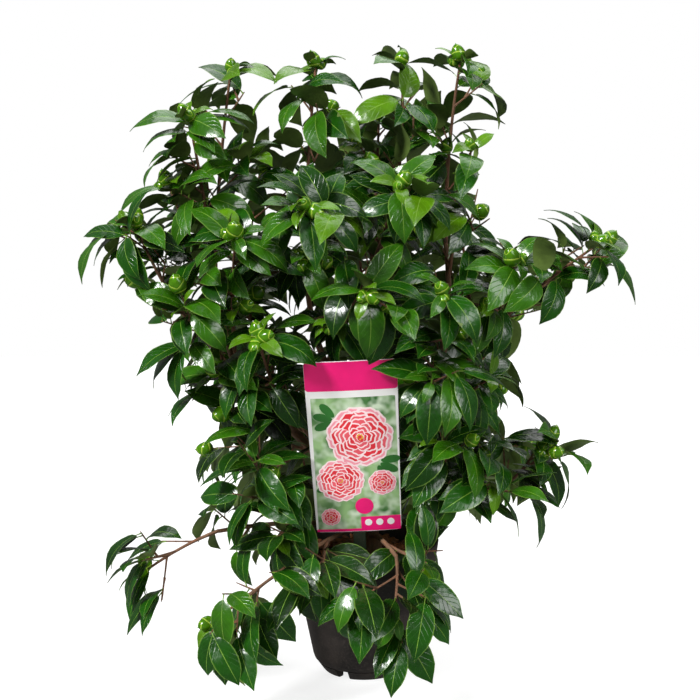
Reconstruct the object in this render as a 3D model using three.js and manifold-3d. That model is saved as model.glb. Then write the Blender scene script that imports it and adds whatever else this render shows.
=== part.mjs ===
// A camellia shrub in its nursery pot, in millimetres, +Z up.
// The origin is on the ground, under the middle of the pot; the side with the plant label faces -Y.
//
// The shrub is a short trunk, limbs that leave it or each other, and masses of foliage on the limbs.
// A mass is one stem with side twigs, leaves and flower buds, fused into one solid by a seeded rule.
import * as THREE from "three";
import { mergeVertices } from "three/addons/utils/BufferGeometryUtils.js";
import Module from "manifold-3d";

const wasm = await Module();
wasm.setup();

// ---------------------------------------------------------------- driving dimensions
const GAP = 0.3; // between neighbouring solids
const SLIVER = 0.01; // edges that cuts leave, shorter than this, are closed up

const POT = {
  rimRadius: 95,
  height: 170,
  collarHeight: 30,
  collarStep: 2.5,
  wallTop: 88.5, // outer radius just under the collar
  wallFoot: 64, // outer radius above the rounded lower edge
  bottomEdge: 52.7,
  footRadius: 48,
  footHeight: 10,
  wall: 2.6,
  sides: 20,
  feet: 4,
  footSpan: THREE.MathUtils.degToRad(72),
  footTurn: THREE.MathUtils.degToRad(-2), // the front foot sits a little to the left
};
const SOIL = { top: 150, rough: 2.5, trunkPad: 24 };
const LABEL = {
  width: 110,
  footWidth: 103,
  height: 228,
  spike: 55,
  spikeWidth: 15,
  sunk: 30, // of the spike in the soil
  corner: 6,
  thick: 1.2,
  lean: THREE.MathUtils.degToRad(14),
  tilt: THREE.MathUtils.degToRad(2.9),
  foot: [-3, -66],
  overlap: 24, // how far leaves may hang over its top edge
};
const TRUNK = { foot: [8, 4], top: [3, 2, 215], footRadius: 12.5, topRadius: 9.5, flare: 0.45, sides: 8 };

// name, parent, station on the parent (0 foot, 1 tip), tip, foot radius, tip radius
const LIMBS = [
  ["left_leader", "trunk", 0.8, [-140, -18, 360], 6.6, 4.8],
  ["left_upper", "left_leader", 1, [-182, -8, 530], 4.6, 3],
  ["left_arm", "left_leader", 0.8, [-222, -50, 470], 3.6, 2.4],
  ["centre_leader", "trunk", 1, [-60, 0, 430], 5.8, 4],
  ["centre_left", "centre_leader", 1, [-72, -20, 560], 3.8, 2.8],
  ["centre_right", "centre_leader", 0.8, [22, -10, 540], 3.8, 2.8],
  ["right_leader", "trunk", 0.7, [84, -20, 352], 5.6, 4.4],
  ["right_upper", "right_leader", 1, [100, 0, 545], 4.2, 3],
  ["right_arm", "right_leader", 0.8, [172, -40, 460], 3.6, 2.6],
  ["left_low", "trunk", 0.45, [-178, -90, 205], 3.8, 2.4],
  ["right_low", "trunk", 0.4, [150, -40, 232], 3.8, 2.6],
  ["front_left", "trunk", 0.5, [-84, -132, 180], 3.4, 2.4],
  ["front_right", "trunk", 0.35, [38, -132, 186], 3.4, 2.4],
  ["back_leader", "trunk", 0.85, [10, 125, 440], 5.4, 3.4],
  ["back_left", "trunk", 0.6, [-130, 120, 350], 4.8, 3],
  ["back_right", "trunk", 0.5, [130, 115, 350], 4.8, 3],
];

// name, limb, station, tip, side twigs, buds, seed
const MASSES = [
  ["left_crown", "left_upper", 1, [-160, -8, 752], 3, 1, 1],
  ["left_crown_outer", "left_upper", 0.85, [-206, -60, 700], 2, 1, 1],
  ["left_shoulder", "left_upper", 0.5, [-238, 0, 615], 2, 1, 1],
  ["left_arm_tip", "left_arm", 1, [-272, -60, 574], 2, 1, 1],
  ["left_arm_under", "left_arm", 0.8, [-205, -130, 482], 2, 0, 1],
  ["left_breast", "left_upper", 0.25, [-148, -140, 568], 3, 2, 1],
  ["left_flank", "left_leader", 0.75, [-176, -85, 398], 2, 1, 1],
  ["left_front", "left_leader", 0.65, [-122, -145, 450], 3, 1, 1],
  ["centre_crown_left", "centre_left", 1, [-58, -20, 758], 3, 1, 1],
  ["centre_front", "centre_left", 0.6, [-64, -158, 604], 3, 2, 1],
  ["centre_crown_right", "centre_right", 1, [44, 0, 762], 3, 2, 1],
  ["centre_breast", "centre_right", 0.5, [3, -168, 508], 3, 2, 1],
  ["right_breast", "centre_right", 0.85, [40, -120, 625], 3, 1, 1],
  ["right_crown", "right_upper", 1, [116, 5, 764], 3, 2, 2],
  ["right_crown_outer", "right_upper", 0.75, [126, -60, 662], 3, 1, 1],
  ["right_arm_tip", "right_arm", 1, [278, -50, 548], 3, 1, 3],
  ["right_arm_upper", "right_arm", 0.8, [174, -120, 535], 3, 2, 1],
  ["right_arm_under", "right_upper", 0.2, [92, -145, 505], 2, 1, 1],
  ["right_flank", "right_leader", 0.6, [150, -80, 392], 2, 0, 1],
  ["right_front", "right_leader", 0.9, [78, -150, 405], 2, 0, 1],
  ["left_low_upper", "left_low", 0.6, [-128, -120, 300], 3, 0, 1],
  ["left_low_inner", "left_low", 0.4, [-104, -125, 208], 2, 0, 1],
  ["left_low_tip", "left_low", 1, [-262, -100, 160], 3, 1, 2],
  ["right_low_tip", "right_low", 1, [214, -50, 302], 2, 1, 1],
  ["right_low_under", "right_low", 0.75, [150, -110, 272], 2, 0, 1],
  ["right_low_inner", "right_low", 0.6, [92, -115, 322], 2, 0, 1],
  ["front_left_tip", "front_left", 1, [-178, -160, 116], 3, 1, 1],
  ["front_left_skirt", "front_left", 0.6, [-48, -140, 178], 2, 0, 1],
  ["front_right_tip", "front_right", 1, [34, -184, 132], 3, 1, 2],
  ["front_right_side", "front_right", 0.7, [74, -138, 180], 2, 0, 1],
  ["back_crown", "back_leader", 1, [20, 125, 690], 3, 1, 1],
  ["back_breast", "back_leader", 0.7, [-10, 225, 560], 3, 1, 1],
  ["back_left_crown", "back_left", 1, [-130, 120, 630], 2, 1, 1],
  ["back_left_flank", "back_left", 0.8, [-200, 150, 440], 2, 0, 1],
  ["back_right_crown", "back_right", 1, [100, 115, 625], 2, 1, 2],
  ["back_right_flank", "back_right", 0.8, [195, 140, 440], 2, 0, 1],
  ["back_skirt", "back_leader", 0.45, [0, 210, 350], 2, 0, 1],
  ["back_left_low", "back_left", 0.45, [-140, 170, 250], 2, 0, 1],
  ["back_right_low", "back_right", 0.45, [140, 170, 250], 2, 0, 1],
];

const LIMB_SIDES = 5;
const FOLLOW = { tip: 0.45, flank: 0.2 }; // how much a limb or stem first follows what it grows from
const STEM = { foot: 3, tip: 1.9, sides: 3 };
const TWIG = { foot: 1.3, tip: 1.2, sides: 3, first: 0.3, last: 0.88, length: 62, spread: 0.9 };
const LEAF = {
  length: [66, 90],
  halfWidth: 0.3, // of its length
  widest: 0.42, // station of the widest point
  petiole: 7,
  spacing: 20, // between leaves along a shoot
  whorl: 3, // leaves around a shoot's tip
  whorlPitch: 4,
  spread: 1.3, // from the shoot's direction, radians
  whorlSpread: 1.1,
  droop: 0.45,
  arch: [0.55, 1.2],
  fold: 0.3,
  thick: 1.5,
  rootThick: 0.6,
  most: 11, // in a mass
  tries: 10,
  turn: 0.55, // between tries, radians
};
const BUD = { radius: 11, offset: 0.5 };
const SPACE = {
  reach: 120, // from a mass's stem
  cellGap: 4, // between the twigs of two masses
  overlap: 40, // how much nearer to another stem a leaf may be
  leafGap: 0.7,
  shootGap: 3.4,
  limbGap: 2.2,
  ground: 6,
  potGap: 4,
  labelGap: 3,
};
const GOLDEN_ANGLE = Math.PI * (3 - Math.sqrt(5));

// ---------------------------------------------------------------- materials
const finish = (color, roughness) => new THREE.MeshStandardMaterial({ color, roughness, metalness: 0 });
const FINISH = {
  pot: finish(0x2c2a29, 0.75),
  soil: finish(0x4a2c1c, 0.95),
  label: finish(0xd9337c, 0.35),
  bark: finish(0x6b4a36, 0.85),
  foliage: finish(0x1f5a16, 0.35),
};

// ---------------------------------------------------------------- solids
function solidFrom(geometry) {
  geometry.deleteAttribute("normal");
  geometry.deleteAttribute("uv");
  const merged = mergeVertices(geometry, 1e-4);
  return new wasm.Manifold(
    new wasm.Mesh({
      numProp: 3,
      vertProperties: merged.attributes.position.array,
      triVerts: new Uint32Array(merged.index.array),
    }),
  );
}

function geometryOf(solid) {
  const mesh = solid.simplify(SLIVER).getMesh();
  const positions = new Float32Array(mesh.numVert * 3);
  for (let i = 0; i < mesh.numVert; i++) {
    positions.set(mesh.vertProperties.subarray(i * mesh.numProp, i * mesh.numProp + 3), i * 3);
  }
  return new THREE.BufferGeometry()
    .setAttribute("position", new THREE.BufferAttribute(positions, 3))
    .setIndex(new THREE.BufferAttribute(new Uint32Array(mesh.triVerts), 1));
}

// Moves every vertex of a geometry to place(x, y, z).
function reshape(geometry, place) {
  const position = geometry.attributes.position;
  for (let i = 0; i < position.count; i++) {
    const p = place(position.getX(i), position.getY(i), position.getZ(i));
    position.setXYZ(i, p.x, p.y, p.z);
  }
  return geometry;
}

const shrub = new THREE.Group();
function addNode(name, geometry, material) {
  const mesh = new THREE.Mesh(geometry, material);
  mesh.name = name;
  shrub.add(mesh);
  return mesh;
}

// ---------------------------------------------------------------- seeded numbers
// A stream of numbers from 0 to 1 that is the same for the same keys.
function seeded(...keys) {
  let state = 2166136261;
  for (const key of keys) state = Math.imul(state ^ (key + 1), 16777619) >>> 0;
  const next = () => {
    state = (Math.imul(state, 1664525) + 1013904223) >>> 0;
    return state / 4294967296;
  };
  next();
  next();
  return next;
}
const between = ([low, high], share) => low + (high - low) * share;

// ---------------------------------------------------------------- curves
// A curve is a quadratic arc from a to c that heads for b. Its path is the straight steps that stand for it.
const vector = (x, y, z) => new THREE.Vector3(x, y, z);
const UP = vector(0, 0, 1);
const STEPS = 3;

// An arc from a limb's station to c that first follows the limb's direction.
function arcFrom(limb, station, c) {
  const parentHeading = headingOn(limb.curve, station);
  const a = pointOn(limb.curve, station);
  if (station === 1) a.addScaledVector(parentHeading, GAP);
  const chord = c.clone().sub(a);
  const lead = chord.clone().normalize().lerp(parentHeading, station === 1 ? FOLLOW.tip : FOLLOW.flank);
  return curveThrough(a, a.clone().addScaledVector(lead, chord.length() * 0.5), c);
}

function curveThrough(a, b, c, steps = STEPS) {
  const path = [];
  for (let i = 0; i <= steps; i++) {
    const t = i / steps;
    const point = a.clone().multiplyScalar((1 - t) * (1 - t));
    path.push(point.addScaledVector(b, 2 * t * (1 - t)).addScaledVector(c, t * t));
  }
  const chord = c.clone().sub(a);
  const side = b.clone().sub(a).cross(c.clone().sub(b));
  if (side.length() < 1e-3 * chord.lengthSq()) side.crossVectors(chord, vector(1, 0, 0));
  return { a, b, c, path, side: side.normalize(), length: chord.length() };
}

function pointOn({ path }, t) {
  const step = Math.min(Math.floor(t * (path.length - 1)), path.length - 2);
  return path[step].clone().lerp(path[step + 1], t * (path.length - 1) - step);
}

function headingOn({ a, b, c }, t) {
  const p = b.clone().sub(a).multiplyScalar(1 - t);
  return p.addScaledVector(c.clone().sub(b), t).normalize();
}

// Distance from a point to a path, with the station of the nearest point.
function nearest(point, path) {
  let best = { distance: Infinity, station: 0 };
  for (let i = 0; i < path.length - 1; i++) {
    const along = path[i + 1].clone().sub(path[i]);
    const offset = point.clone().sub(path[i]);
    const share = THREE.MathUtils.clamp(offset.dot(along) / along.lengthSq(), 0, 1);
    const distance = offset.addScaledVector(along, -share).length();
    if (distance < best.distance) best = { distance, station: (i + share) / (path.length - 1) };
  }
  return best;
}

// A tapering rod along a curve, grown on all sides by a margin.
function rod({ curve, radiusAt, sides }, margin = 0) {
  const geometry = new THREE.CylinderGeometry(1, 1, 1, sides, curve.path.length - 1);
  reshape(geometry, (x, y, z) => {
    const t = y + 0.5;
    const heading = headingOn(curve, t);
    const radius = radiusAt(t) + margin;
    const across = curve.side.clone().cross(heading);
    const point = pointOn(curve, t).addScaledVector(curve.side, x * radius).addScaledVector(across, z * radius);
    return point.addScaledVector(heading, Math.abs(y) === 0.5 ? 2 * y * margin : 0);
  });
  return solidFrom(geometry);
}

// What is left of a solid outside other rods, 0.3 mm clear of them, without loose scraps.
function clearOf(rods, solid) {
  const cut = rods.reduce((rest, other) => rest.subtract(rod(other, GAP)), solid);
  return cut.decompose().reduce((best, piece) => (piece.volume() > best.volume() ? piece : best));
}

// ---------------------------------------------------------------- limbs
const limbs = new Map();

function addLimb(name, limb) {
  addNode(name, geometryOf(clearOf([...limbs.values()], rod(limb))), FINISH.bark);
  limbs.set(name, limb);
}

function growLimbs() {
  const foot = vector(...TRUNK.foot, SOIL.top + GAP);
  const tip = vector(...TRUNK.top);
  addLimb("trunk", {
    curve: curveThrough(foot, vector(foot.x, foot.y, (foot.z + tip.z) / 2), tip), // it leaves the soil upright
    radiusAt: (t) => between([TRUNK.footRadius, TRUNK.topRadius], t) * (1 + TRUNK.flare * (1 - t) ** 4),
    sides: TRUNK.sides,
  });
  for (const [name, parentName, station, tip, footRadius, tipRadius] of LIMBS) {
    addLimb(name, {
      curve: arcFrom(limbs.get(parentName), station, vector(...tip)),
      radiusAt: (t) => between([footRadius, tipRadius], t),
      sides: LIMB_SIDES,
    });
  }
}

// ---------------------------------------------------------------- space for foliage
const labelPlace = new THREE.Matrix4()
  .makeTranslation(LABEL.foot[0], LABEL.foot[1], SOIL.top)
  .multiply(new THREE.Matrix4().makeRotationX(LABEL.lean))
  .multiply(new THREE.Matrix4().makeRotationY(-LABEL.tilt));
const labelInverse = labelPlace.clone().invert();
const labelCorner = (hand, z) => vector((hand * LABEL.width) / 2, 0, z).applyMatrix4(labelPlace);
const labelTop = LABEL.spike + LABEL.height;
const labelCard = [
  [labelCorner(-1, LABEL.spike), labelCorner(1, LABEL.spike), labelCorner(1, labelTop)],
  [labelCorner(-1, LABEL.spike), labelCorner(1, labelTop), labelCorner(-1, labelTop)],
];

// Leaves leave the label's face in view, but for its upper edge, and do not touch the card.
function clearOfLabel(point) {
  const p = point.clone().applyMatrix4(labelInverse);
  const across = Math.abs(p.x);
  const besideCard = across < LABEL.width / 2 + 3 && p.z > LABEL.spike - 4 && p.z < labelTop + 4;
  const besideSpike = across < LABEL.spikeWidth && p.z < LABEL.spike;
  if ((besideCard || besideSpike) && Math.abs(p.y) < SPACE.labelGap) return false;
  const inFront = p.y < 0 && across < LABEL.width / 2 - 5 && p.z > LABEL.spike + 4;
  return !(inFront && p.z < labelTop - LABEL.overlap);
}

function clearOfPot(point) {
  const radius = Math.hypot(point.x, point.y);
  if (point.z < SPACE.ground) return false;
  if (point.z > POT.height + SPACE.potGap) return true;
  if (radius < POT.rimRadius - POT.wall - 6) return point.z > SOIL.top + 4;
  const wall = between([POT.wallFoot, POT.rimRadius], THREE.MathUtils.clamp(point.z / POT.height, 0.15, 1));
  return radius > Math.max(wall, point.z > POT.height - POT.collarHeight - 10 ? POT.rimRadius : 0) + SPACE.potGap;
}

function clearOfLimbs(point) {
  for (const { curve, radiusAt } of limbs.values()) {
    const { distance, station } = nearest(point, curve.path);
    if (distance < radiusAt(station) + SPACE.limbGap) return false;
  }
  return true;
}

// True where a point is nearer to this mass's stem than to any other stem, less an overlap.
function inOwnSpace(point, mass, overlap) {
  const own = nearest(point, mass.curve.path).distance;
  if (own > SPACE.reach) return false;
  return masses.every((other) => other === mass || nearest(point, other.curve.path).distance > own - overlap);
}

const isFree = (point) => clearOfPot(point) && clearOfLabel(point) && clearOfLimbs(point);

// True where a stretch from p to q passes through the triangle a, b, c.
function crosses([p, q], [a, b, c]) {
  const along = q.clone().sub(p);
  const ab = b.clone().sub(a);
  const ac = c.clone().sub(a);
  const h = along.clone().cross(ac);
  const det = ab.dot(h);
  if (Math.abs(det) < 1e-9) return false;
  const from = p.clone().sub(a);
  const u = from.dot(h) / det;
  if (u < 0 || u > 1) return false;
  const k = from.cross(ab);
  const v = along.dot(k) / det;
  if (v < 0 || u + v > 1) return false;
  const t = ac.dot(k) / det;
  return t >= 0 && t <= 1;
}

// ---------------------------------------------------------------- foliage rule
// Every mass gets its stem, then side twigs, then buds, then leaves, in turn with the others.
const masses = [];
const shoots = [];
const buds = [];
const leaves = [];

// A stem or twig, as a rod that bears leaves.
function addShoot(mass, curve, { foot, tip, sides }) {
  const number = shoots.filter((shoot) => shoot.mass === mass).length;
  const middle = pointOn(curve, 0.5);
  shoots.push({ mass, curve, number, sides, middle, radiusAt: (t) => between([foot, tip], t) });
}

function placeStems() {
  MASSES.forEach(([name, limbName, station, tip, twigs, buds, seed], index) => {
    const limb = limbs.get(limbName);
    const mass = { name, limb, curve: arcFrom(limb, station, vector(...tip)), twigs, buds, seed, index };
    masses.push(mass);
    addShoot(mass, mass.curve, STEM);
  });
}

// The direction square to a curve at an angle round it.
function outwardFrom(curve, t, azimuth) {
  const across = curve.side.clone().cross(headingOn(curve, t));
  return curve.side.clone().multiplyScalar(Math.cos(azimuth)).addScaledVector(across, Math.sin(azimuth));
}

function growTwigs(mass) {
  for (let k = 0; k < mass.twigs; k++) {
    const random = seeded(mass.seed, mass.index, 100 + k);
    const t = between([TWIG.first, TWIG.last], (k + random() * 0.6) / mass.twigs);
    const foot = pointOn(mass.curve, t);
    const heading = headingOn(mass.curve, t).multiplyScalar(Math.cos(TWIG.spread));
    const azimuth = k * GOLDEN_ANGLE + mass.seed + random();
    heading.addScaledVector(outwardFrom(mass.curve, t, azimuth), Math.sin(TWIG.spread));
    heading.addScaledVector(UP, 0.15).normalize();
    const full = TWIG.length * (1.15 - 0.5 * t) * (0.8 + 0.4 * random());
    for (const share of [1, 0.75, 0.5]) {
      const tip = foot.clone().addScaledVector(heading, full * share);
      const middle = foot.clone().lerp(tip, 0.5);
      if (![middle, tip].every((p) => isFree(p) && inOwnSpace(p, mass, -SPACE.cellGap))) continue;
      addShoot(mass, curveThrough(foot, middle, tip, 1), TWIG);
      break;
    }
  }
}

// Flower buds sit on the tips of the shoots.
function placeBuds(mass) {
  const own = shoots.filter((shoot) => shoot.mass === mass).slice(0, mass.buds);
  own.forEach(({ curve }, k) => {
    const random = seeded(mass.seed, mass.index, 200 + k);
    const radius = BUD.radius * (0.85 + 0.3 * random());
    const heading = headingOn(curve, 1);
    buds.push({ mass, heading, radius, centre: pointOn(curve, 1).addScaledVector(heading, radius * BUD.offset) });
  });
}

// A leaf's root on its shoot, heading, upper side, length and the arch of its rib.
function leafOn({ curve }, t, azimuth, spread, random, size) {
  const root = pointOn(curve, t);
  const heading = headingOn(curve, t).multiplyScalar(Math.cos(spread));
  heading.addScaledVector(outwardFrom(curve, t, azimuth), Math.sin(spread));
  heading.addScaledVector(UP, -LEAF.droop * (0.5 + random()));
  heading.normalize();
  const upper = vector(root.x, root.y, 0).normalize().multiplyScalar(0.55);
  upper.addScaledVector(UP, 0.8);
  upper.addScaledVector(vector(random() - 0.5, random() - 0.5, random() - 0.5), 0.7);
  upper.addScaledVector(heading, -upper.dot(heading)).normalize();
  const side = upper.clone().cross(heading);
  const length = between(LEAF.length, random()) * size;
  return { root, heading, upper, side, length, arch: between(LEAF.arch, random()) };
}

// The point of the rib at a station of the blade, from 0 at its foot to 1 at its tip.
function ribPoint({ root, heading, upper, length, arch }, t) {
  const bend = length / arch;
  const point = root.clone().addScaledVector(heading, LEAF.petiole + bend * Math.sin(arch * t));
  return point.addScaledVector(upper, -bend * (1 - Math.cos(arch * t)));
}

// The corners of a leaf's solid, grown on all sides by a margin.
function leafCorners(leaf, margin = 0) {
  const turn = leaf.arch * LEAF.widest;
  const up = leaf.upper.clone().multiplyScalar(Math.cos(turn)).addScaledVector(leaf.heading, Math.sin(turn));
  const middle = ribPoint(leaf, LEAF.widest);
  const half = leaf.length * LEAF.halfWidth + margin;
  const edge = (hand) =>
    middle
      .clone()
      .addScaledVector(leaf.side, hand * half * Math.cos(LEAF.fold))
      .addScaledVector(up, half * Math.sin(LEAF.fold));
  return {
    root: leaf.root,
    tip: ribPoint(leaf, 1 + margin / leaf.length),
    left: edge(-1),
    right: edge(1),
    top: middle.clone().addScaledVector(up, LEAF.thick / 2 + margin),
    underside: middle.clone().addScaledVector(up, -LEAF.thick / 2 - margin),
  };
}

// A leaf's solid grown by a margin, as faces, edges and points, to test it against others.
function shellOf(leaf, margin) {
  const { root, tip, left, right, top, underside } = leafCorners(leaf, margin);
  const ends = [root, tip];
  const ring = [left, top, right, underside];
  const hoop = ring.map((corner, i) => [corner, ring[(i + 1) % 4]]);
  const mid = (p, q) => p.clone().lerp(q, 0.5);
  return {
    middle: mid(top, underside),
    edges: [...hoop, ...ends.flatMap((end) => ring.map((corner) => [end, corner]))],
    faces: ends.flatMap((end) => hoop.map(([p, q]) => [end, p, q])),
    near: [mid(root, left), mid(root, right), mid(root, top)],
    far: [tip, left, right, top, mid(left, tip), mid(right, tip), mid(top, tip)],
    outline: [mid(root, left), left, tip, right, mid(root, right)],
    rib: [mid(root, top), top, tip],
  };
}

const passes = (path, faces) => path.some((p, i) => i > 0 && faces.some((face) => crosses([path[i - 1], p], face)));

function shellsTouch(one, other) {
  if (one.middle.distanceTo(other.middle) > LEAF.length[1] * 1.3) return false;
  const hit = (edges, faces) => edges.some((edge) => passes(edge, faces));
  return hit(one.edges, other.faces) || hit(other.edges, one.faces);
}

function leafFits(leaf, shell, shoot) {
  const { near, far, outline, rib, edges, middle } = shell;
  if (!far.every((p) => isFree(p) && inOwnSpace(p, shoot.mass, SPACE.overlap))) return false;
  if (!near.every((p) => clearOfLimbs(p) && clearOfPot(p) && clearOfLabel(p))) return false;
  if (edges.some((edge) => passes(edge, labelCard))) return false;
  const nearBud = ({ centre, radius }) => [outline, rib].some((path) => nearest(centre, path).distance < radius);
  if (buds.some(nearBud)) return false;
  const { faces } = shellOf(leaf, SPACE.shootGap);
  if ([...limbs.values()].some(({ curve }) => passes(curve.path, faces))) return false;
  for (const other of shoots) {
    if (other === shoot || other.middle.distanceTo(middle) > other.curve.length / 2 + LEAF.length[1] * 0.8) continue;
    if (far.some((p) => nearest(p, other.curve.path).distance < SPACE.shootGap)) return false;
    if (passes(other.curve.path, faces)) return false;
  }
  return !leaves.some((leaf) => shellsTouch(shell, leaf.shell));
}

// A leaf tries several turns, ever closer to the shoot and smaller, until it fits.
function growLeaf(shoot, t, azimuth, spread, key) {
  const { mass } = shoot;
  for (let k = 0; k < LEAF.tries && leafCount(mass) < LEAF.most; k++) {
    const random = seeded(mass.seed, mass.index, shoot.number, key);
    const turn = Math.ceil(k / 2) * (k % 2 ? LEAF.turn : -LEAF.turn);
    const leaf = leafOn(shoot, t, azimuth + turn, spread * (1 - 0.08 * k), random, 1 - 0.03 * k);
    const shell = shellOf(leaf, SPACE.leafGap);
    if (!leafFits(leaf, shell, shoot)) continue;
    leaves.push({ ...leaf, mass, shell });
    return;
  }
}

const leafCount = (mass) => leaves.filter((leaf) => leaf.mass === mass).length;

// The leaves round the tips of all shoots come first.
function growWhorls() {
  for (let k = 0; k < LEAF.whorl; k++) {
    for (const shoot of shoots) {
      const azimuth = (k * Math.PI * 2) / LEAF.whorl + shoot.mass.seed + shoot.number;
      const t = 1 - ((k + 0.7) * LEAF.whorlPitch) / shoot.curve.length;
      growLeaf(shoot, t, azimuth, LEAF.whorlSpread, k);
    }
  }
}

// The leaves along the shoots follow in turn, from the tips inwards.
function growSideLeaves() {
  const rows = Math.ceil(Math.max(...shoots.map((shoot) => shoot.curve.length)) / LEAF.spacing);
  for (let k = 0; k < rows; k++) {
    for (const shoot of shoots) {
      const t = 0.9 - ((k + 0.5) * LEAF.spacing) / shoot.curve.length;
      if (t < (shoot.number ? 0.25 : 0.15)) continue;
      growLeaf(shoot, t, k * GOLDEN_ANGLE + shoot.mass.index, LEAF.spread, 10 + k);
    }
  }
}

// ---------------------------------------------------------------- foliage solids
const LEAF_FACES = [
  ["root", "left", "top"],
  ["root", "top", "right"],
  ["top", "left", "tip"],
  ["top", "tip", "right"],
  ["heel", "underside", "left"],
  ["heel", "right", "underside"],
  ["underside", "tip", "left"],
  ["underside", "right", "tip"],
  ["root", "heel", "left"],
  ["root", "right", "heel"],
];

function leafSolid(leaf) {
  const corners = leafCorners(leaf);
  corners.root = leaf.root.clone().addScaledVector(leaf.upper, LEAF.rootThick / 2);
  corners.heel = leaf.root.clone().addScaledVector(leaf.upper, -LEAF.rootThick / 2);
  const points = LEAF_FACES.flat().map((corner) => corners[corner]);
  return solidFrom(new THREE.BufferGeometry().setFromPoints(points));
}

// A bud is an octahedron with one face towards its shoot.
function budSolid({ centre, heading, radius }) {
  const turn = new THREE.Quaternion().setFromUnitVectors(vector(1, 1, 1).normalize(), heading);
  const geometry = new THREE.OctahedronGeometry(radius);
  return solidFrom(reshape(geometry, (x, y, z) => vector(x, y, z).applyQuaternion(turn).add(centre)));
}

function massSolid(mass) {
  const ofMass = (list) => list.filter((item) => item.mass === mass);
  const pieces = [
    ...ofMass(shoots).map((shoot) => rod(shoot)),
    ...ofMass(leaves).map(leafSolid),
    ...ofMass(buds).map(budSolid),
  ];
  return clearOf([mass.limb], wasm.Manifold.union(pieces));
}

function growFoliage() {
  placeStems();
  masses.forEach(growTwigs);
  masses.forEach(placeBuds);
  growWhorls();
  growSideLeaves();
  for (const mass of masses) addNode(mass.name, geometryOf(massSolid(mass)), FINISH.foliage);
}

// ---------------------------------------------------------------- pot, soil and label
function addPot() {
  const p = POT;
  const collarFoot = p.height - p.collarHeight;
  const innerFoot = p.footHeight + p.wall;
  const outline = [
    [0, p.footHeight - 4],
    [p.footRadius - 8, p.footHeight - 4],
    [p.footRadius - 7, 0],
    [p.footRadius, 0],
    [p.footRadius + 1, p.footHeight],
    [p.bottomEdge, p.footHeight],
    [p.wallFoot, p.footHeight + 12],
    [p.wallTop, collarFoot],
    [p.wallTop + p.collarStep, collarFoot],
    [p.rimRadius, p.height],
    [p.rimRadius - p.wall, p.height],
    [p.wallTop - p.wall, collarFoot],
    [p.wallFoot - p.wall, innerFoot + 12],
    [p.bottomEdge - p.wall, innerFoot],
    [0, innerFoot],
  ];
  const points = outline.map(([radius, z]) => new THREE.Vector2(radius, z));
  const body = new THREE.LatheGeometry(points, p.sides).rotateX(Math.PI / 2);
  let solid = solidFrom(body);
  for (let k = 0; k < p.feet; k++) solid = solid.subtract(footGap(k));
  addNode("pot", geometryOf(solid), FINISH.pot);
}

// The wedge of open space between two feet.
function footGap(k) {
  const p = POT;
  const pitch = (Math.PI * 2) / p.feet;
  const middle = -Math.PI / 2 + p.footTurn + (k + 0.5) * pitch;
  const halfGap = (pitch - p.footSpan) / 2;
  const shape = new THREE.Shape();
  const inner = p.footRadius - 12;
  const outer = p.footRadius + 30;
  shape.absarc(0, 0, outer, middle - halfGap, middle + halfGap, false);
  shape.absarc(0, 0, inner, middle + halfGap, middle - halfGap, true);
  const wedge = new THREE.ExtrudeGeometry(shape, { depth: p.footHeight + 1, bevelEnabled: false, curveSegments: 4 });
  return solidFrom(wedge.translate(0, 0, -1));
}

// The soil fills the pot 0.3 mm clear, with a slot for the label's spike.
function addSoil() {
  const p = POT;
  const innerFoot = p.footHeight + p.wall;
  const bend = innerFoot + 12;
  const slope = (p.wallTop - p.wallFoot) / (p.height - p.collarHeight - bend);
  const wallAt = (z) => p.wallFoot - p.wall - GAP + slope * (z - bend);
  const edge = wallAt(SOIL.top - 14);
  const points = [
    [0, innerFoot + GAP],
    [p.bottomEdge - p.wall - GAP, innerFoot + GAP],
    [wallAt(bend), bend],
    [edge, SOIL.top - 14],
    [edge - 3, SOIL.top - 4],
    [edge * 0.62, SOIL.top],
    [SOIL.trunkPad, SOIL.top],
    [0, SOIL.top],
  ].map(([radius, z]) => new THREE.Vector2(radius, z));
  const soil = new THREE.LatheGeometry(points, p.sides).rotateX(Math.PI / 2);
  reshape(soil, (x, y, z) => {
    const onTop = z > SOIL.top - 5 && Math.hypot(x, y) > SOIL.trunkPad + 1;
    const lump = Math.sin(x * 0.31) * Math.cos(y * 0.27 + 1) * SOIL.rough;
    return vector(x, y, onTop ? z + Math.min(lump, 0) : z);
  });
  const size = [LABEL.spikeWidth + 2 * GAP, LABEL.thick + 2 * GAP, LABEL.sunk + 10 + GAP];
  const slot = new THREE.BoxGeometry(...size).translate(0, 0, 10 - size[2] / 2).applyMatrix4(labelPlace);
  addNode("mulch", geometryOf(solidFrom(soil).subtract(solidFrom(slot))), FINISH.soil);
}

function addLabel() {
  const l = LABEL;
  const half = l.width / 2;
  const halfFoot = l.footWidth / 2;
  const halfSpike = l.spikeWidth / 2;
  const shape = new THREE.Shape();
  shape.moveTo(0, -l.sunk);
  shape.lineTo(halfSpike, 12 - l.sunk);
  shape.lineTo(halfSpike, l.spike);
  shape.lineTo(halfFoot - l.corner, l.spike);
  shape.quadraticCurveTo(halfFoot, l.spike, halfFoot, l.spike + l.corner);
  shape.lineTo(half, labelTop - l.corner);
  shape.quadraticCurveTo(half, labelTop, half - l.corner, labelTop);
  shape.lineTo(l.corner - half, labelTop);
  shape.quadraticCurveTo(-half, labelTop, -half, labelTop - l.corner);
  shape.lineTo(-halfFoot, l.spike + l.corner);
  shape.quadraticCurveTo(-halfFoot, l.spike, l.corner - halfFoot, l.spike);
  shape.lineTo(-halfSpike, l.spike);
  shape.lineTo(-halfSpike, 12 - l.sunk);
  shape.closePath();
  const card = new THREE.ExtrudeGeometry(shape, { depth: l.thick, bevelEnabled: false, curveSegments: 3 });
  card.translate(0, 0, -l.thick / 2).rotateX(Math.PI / 2);
  addNode("plant_label", card, FINISH.label).applyMatrix4(labelPlace);
}

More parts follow.
